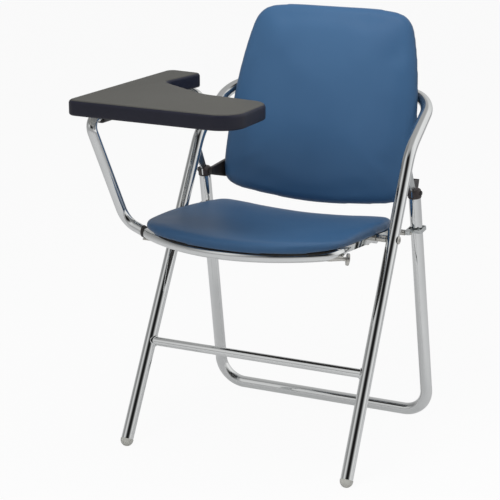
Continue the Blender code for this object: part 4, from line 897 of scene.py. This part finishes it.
pivot = place(0, *ARM_PIVOT)
washer_profile = [(0.0058, 0.2230), (0.0064, 0.2234), (0.0064, 0.2250), (0.0058, 0.22545)]
washer = turned("arm_washer", washer_profile, pivot, (-1, 0, 0), 36)
fit(washer, black_plastic, "black_plastic", "tablet_arm", "arm_pivot_washer")
head = ARM_R - CROOK_X + PLAY
arm_bolt_profile = [(0.0074, 0.1975), (0.0082, 0.1981), (0.0082, 0.1998), (0.0040, 0.1998), (0.0040, head),
                    (0.0078, head), (0.0082, head + 0.0005), (0.0082, head + 0.0014), (0.0076, head + 0.0026),
                    (0.0062, head + 0.0036), (0.0042, head + 0.0041), (0.0026, head + 0.0042), (0.0023, head + 0.0030)]
arm_bolt = turned("arm_bolt", arm_bolt_profile, pivot, (-1, 0, 0), 40)
fit(arm_bolt, zinc, "zinc_fastener", "front_frame", "arm_pivot_bolt")

cradle = eased("arm_cradle", "foot_cradle", 0.0006)
fit(cradle, zinc, "zinc_fastener", "seat", "arm_cradle")

STUB_Y = -0.080
BUMPER_X = -0.18815
stub_profile = [(0.00635, -0.27615), (0.00635, -0.1775), (0.0060, -0.1768), (0.0050, -0.1764), (0.0020, -0.17615)]
stub = turned("board_stub", stub_profile, place(0, STUB_Y, ARM_Z), (1, 0, 0), 36)
fit(stub, chrome, "chrome_tube", "tablet_arm", "tablet_support_stub")

rubber = Finish("rubber")
bloom = rubber.noise(rubber.spot(), 140.0, 4.0)
rubber.set({
    "Base Color": rubber.mixed(bloom, (0.020, 0.020, 0.020, 1.0), (0.045, 0.044, 0.042, 1.0)),
    "Roughness": 0.74 + bloom * 0.14,
    "Normal": rubber.bump(bloom, 0.0002, 0.3),
})
bumper_profile = [(0.0048, 0.60765), (0.0055, 0.6083), (0.0055, 0.6122), (0.0048, 0.61290), (0.0030, 0.61325)]
bumper = turned("board_bumper", bumper_profile, place(BUMPER_X, STUB_Y, 0), (0, 0, 1), 28)
fit(bumper, rubber, "rubber", "tablet_arm", "support_bumper")


# TABLET
# A writing board with a dark moulded edge, a grey laminate on top and a pale backing sheet below.
# Two plastic clips screwed under it go round the arm's straight run, so that it flips up.

edging = Finish("tablet_edging")
fine = edging.noise(edging.spot(), 1300.0, 2.0)
wear = edging.noise(edging.spot(), 35.0, 4.0)
edging.set({
    "Base Color": edging.mixed(wear, (0.010, 0.0105, 0.020, 1.0), (0.016, 0.0165, 0.029, 1.0)),
    "Roughness": 0.40 + wear * 0.12,
    "Specular IOR Level": 0.35,
    "Normal": edging.bump(fine, 0.0001, 0.3),
})
laminate = Finish("tablet_laminate")
speckle = laminate.noise(laminate.spot(), 900.0, 3.0)
drift = laminate.noise(laminate.spot(), 9.0, 3.0)
laminate.set({
    "Base Color": laminate.mixed(laminate.range(speckle, 0.35, 0.65) * 0.7 + drift * 0.3,
                                 (0.052, 0.051, 0.044, 1.0), (0.073, 0.072, 0.064, 1.0)),
    "Roughness": 0.50 + drift * 0.10,
    "Specular IOR Level": 0.35,
    "Normal": laminate.bump(speckle, 0.0001, 0.4),
})

BOARD_LOW = 0.61355
BOARD_TOP = 0.64155
EDGE_R = 0.0068
LOWER_EDGE_R = 0.0042
JOINT = 0.0014
board_corners = (((-0.308, -0.224), 0.020), ((-0.308, 0.146), 0.018), ((-0.232, 0.135), 0.008),
                 ((-0.247, 0.020), 0.030), ((-0.121, -0.062), 0.120), ((0.026, -0.085), 0.040),
                 ((0.032, -0.237), 0.045))


def board_outline(inset, arc=14):
    """The outline of the board, with its corners rounded, drawn in by an inset."""
    outline = []
    count = len(board_corners)
    for index, (corner, radius) in enumerate(board_corners):
        corner = Vector(corner)
        before = (Vector(board_corners[index - 1][0]) - corner).normalized()
        after = (Vector(board_corners[(index + 1) % count][0]) - corner).normalized()
        turn = math.pi - before.angle(after)
        hollow = before.cross(after) < 0
        centre = corner + (before + after).normalized() * (radius / math.cos(turn / 2))
        start = corner + before * (radius * math.tan(turn / 2)) - centre
        reach = (radius + inset if hollow else radius - inset) / radius
        for step in range(arc + 1):
            angle = turn * step / arc * (1 if hollow else -1)
            outline.append(centre + Matrix.Rotation(angle, 2) @ start * reach)
    return outline


def rim(share):
    """A level on the board's rounded rim: share 0 is at the side, 1 on the top."""
    angle = share * math.pi / 2
    return EDGE_R * (1 - math.cos(angle)), BOARD_TOP - EDGE_R * (1 - math.sin(angle))


def lower_rim(share):
    """A level on the board's lower edge: share 0 is underneath, 1 at the side."""
    angle = share * math.pi / 2
    return LOWER_EDGE_R * (1 - math.sin(angle)), BOARD_LOW + LOWER_EDGE_R * (1 - math.cos(angle))


joint_share = math.asin(1 - JOINT / EDGE_R) / (math.pi / 2)
under_rim = [lower_rim(step / 5) for step in range(6)]
side_rim = [rim(joint_share * step / 6) for step in range(7)]
board_frame = Matrix.Translation(place(0, 0, 0))


def board_rings(levels):
    """The board's outline at levels (inset, height)."""
    return [[(x, y, height) for x, y in board_outline(inset)] for inset, height in levels]


board = stacked("writing_board", board_rings(under_rim + side_rim), board_frame)
fit(board, edging, "tablet_edging", "tablet", "tablet_board")

joint_inset, joint_height = rim(joint_share)
top_rim = [rim(joint_share + (1 - joint_share) * step / 6) for step in range(7)]
top_sheet = stacked("writing_top", board_rings([(joint_inset, joint_height + 0.00005)] + top_rim[1:]), board_frame)
fit(top_sheet, laminate, "tablet_laminate", "tablet", "tablet_top")

backing = Finish("tablet_backing")
flecks = backing.noise(backing.spot(), 420.0, 3.0)
backing.set({
    "Base Color": backing.mixed(flecks, (0.62, 0.61, 0.57, 1.0), (0.70, 0.69, 0.65, 1.0)),
    "Roughness": 0.60 + flecks * 0.10,
    "Normal": backing.bump(flecks, 0.0001, 0.3),
})
backing_levels = [(0.0052, BOARD_LOW - 0.0002), (0.0048, BOARD_LOW), (0.0048, BOARD_LOW + 0.0003)]
under_sheet = stacked("writing_backing", board_rings(backing_levels), board_frame)
fit(under_sheet, backing, "tablet_laminate", "tablet")

for end in ("front", "rear"):
    clip = eased("hinge_clip_" + end, "arm_clip_" + end, 0.0006)
    fit(clip, black_plastic, "black_plastic", "tablet", "hinge_clip_" + end)


# FLOOR AND LIGHT
# A white floor that keeps a soft shadow, a white surround, and soft lamps.
# What the chrome mirrors is a studio of white walls and dark gaps.

bpy.ops.object.select_all(action="DESELECT")
bpy.ops.mesh.primitive_plane_add(size=60.0, location=(0, 0, 0))
floor = bpy.context.object
floor.name = "floor"
paper = Finish("white_paper")
paper.set({
    "Base Color": paper.mixed(paper.noise(paper.spot(), 3.0), (0.86, 0.86, 0.86, 1.0), (0.88, 0.88, 0.88, 1.0)),
    "Roughness": 0.9,
    "Specular IOR Level": 0.0,
})
SEEN_SHARE = 0.94
MIRRORED_SHARE = 0.28
ray_shares = {"Is Camera Ray": SEEN_SHARE, "Is Transmission Ray": SEEN_SHARE, "Is Glossy Ray": MIRRORED_SHARE}
looking = sum(paper.node("ShaderNodeLightPath", output=ray) * share for ray, share in ray_shares.items())
glow = paper.node("ShaderNodeEmission", None, {"Color": (1.0, 1.0, 1.0, 1.0), "Strength": 1.0})
seen = paper.node("ShaderNodeMixShader", None, {0: looking, 1: Value(paper, paper.shader.outputs[0]), 2: glow})
paper.tree.links.new(seen.socket, paper.tree.nodes["Material Output"].inputs["Surface"])
floor.data.materials.append(paper.material)

world = bpy.data.worlds.new("studio")
bpy.context.scene.world = world
world.use_nodes = True
studio = Nodes(world.node_tree)
direction = studio.node("ShaderNodeTexCoord", output="Generated")
FRONT_WALL = (0.441, -0.897, 0.0)
SIDE_WALL = (0.897, 0.441, 0.0)
front_of = studio.node("ShaderNodeVectorMath", {"operation": "DOT_PRODUCT"}, {0: direction, 1: FRONT_WALL}, 1)
side_of = studio.node("ShaderNodeVectorMath", {"operation": "DOT_PRODUCT"}, {0: direction, 1: SIDE_WALL}, 1)
bearing = studio.node("ShaderNodeMath", {"operation": "ARCTAN2"}, {0: side_of, 1: front_of}) * (1 / math.tau) + 0.5


def round_about(*stops):
    """Grey levels round the studio: bearings in degrees, 0 at the front wall and 90 at the side wall."""
    greys = [(0.5 + angle / 360, (grey, grey, grey)) for angle, grey in stops]
    return studio.node("ShaderNodeValToRGB", {"stops": greys}, {0: bearing})


upper_walls = round_about((-180, 0.55), (-140, 0.40), (-115, 0.26), (-88, 0.26), (-68, 0.70), (-52, 0.76), (-36, 0.34),
                          (-20, 0.02), (20, 0.01), (34, 0.16), (54, 0.80), (88, 1.0), (130, 0.80), (180, 0.55))
lower_walls = round_about((-180, 0.55), (-120, 0.42), (-50, 0.42), (20, 0.42), (52, 0.74), (88, 1.0), (130, 0.80),
                          (180, 0.55))
height = studio.node("ShaderNodeSeparateXYZ", None, {0: direction}, 2)
above = studio.node("ShaderNodeMapRange", {"interpolation_type": "SMOOTHSTEP"},
                    {"Value": height, "From Min": 0.08, "From Max": 0.32})
overhead = studio.node("ShaderNodeMapRange", {"interpolation_type": "SMOOTHSTEP"},
                       {"Value": height, "From Min": 0.76, "From Max": 0.95})
mirrored_room = studio.mixed(overhead, studio.mixed(above, lower_walls, upper_walls), (0.45, 0.45, 0.45, 1.0))
glossy_ray = studio.node("ShaderNodeLightPath", output="Is Glossy Ray")
soft_fill = studio.mixed(glossy_ray, (0.22, 0.22, 0.23, 1.0), mirrored_room)
looking = sum(studio.node("ShaderNodeLightPath", output=ray) for ray in ("Is Camera Ray", "Is Transmission Ray"))
surround = studio.mixed(looking, soft_fill, (1.0, 1.0, 1.0, 1.0))
studio.feed(world.node_tree.nodes["Background"].inputs["Color"], surround)

lamps = (("key_lamp", (-0.5, -3.0, 2.5), 1.8, 29.5), ("fill_lamp", (2.4, -1.8, 1.7), 1.8, 13.0),
         ("rear_lamp", (0.6, 2.4, 2.4), 1.6, 10.0), ("top_lamp", (0.08, -0.16, 1.32), 0.7, 5.9))
lit_point = place(0, 0, 0.45)
for name, at, size, power in lamps:
    bpy.ops.object.select_all(action="DESELECT")
    aim = lit_point - Vector(at)
    bpy.ops.object.light_add(type="AREA", location=at, rotation=aim.to_track_quat("-Z", "Y").to_euler())
    lamp = bpy.context.object
    lamp.name = name
    lamp.data.shape = "SQUARE"
    lamp.data.size = size
    lamp.data.energy = power
    lamp.visible_glossy = False


# CAMERA
# A long lens at the sitter's left of the front, well above the tablet, aimed at the seat.
# Its shift only places the chair in the picture.

eye = place(1.35485, -2.75422, 1.18713)
aim = place(0, 0, 0.4) - eye
bpy.ops.object.select_all(action="DESELECT")
bpy.ops.object.camera_add(location=eye, rotation=aim.to_track_quat("-Z", "Y").to_euler())
camera = bpy.context.object
camera.data.sensor_width = 36.0
camera.data.lens = 125.76
camera.data.shift_x = -0.0591
camera.data.shift_y = -0.05096
camera.data.clip_end = 100.0
bpy.context.scene.camera = camera
bpy.context.scene.view_settings.view_transform = "Standard"

bpy.context.view_layer.update()
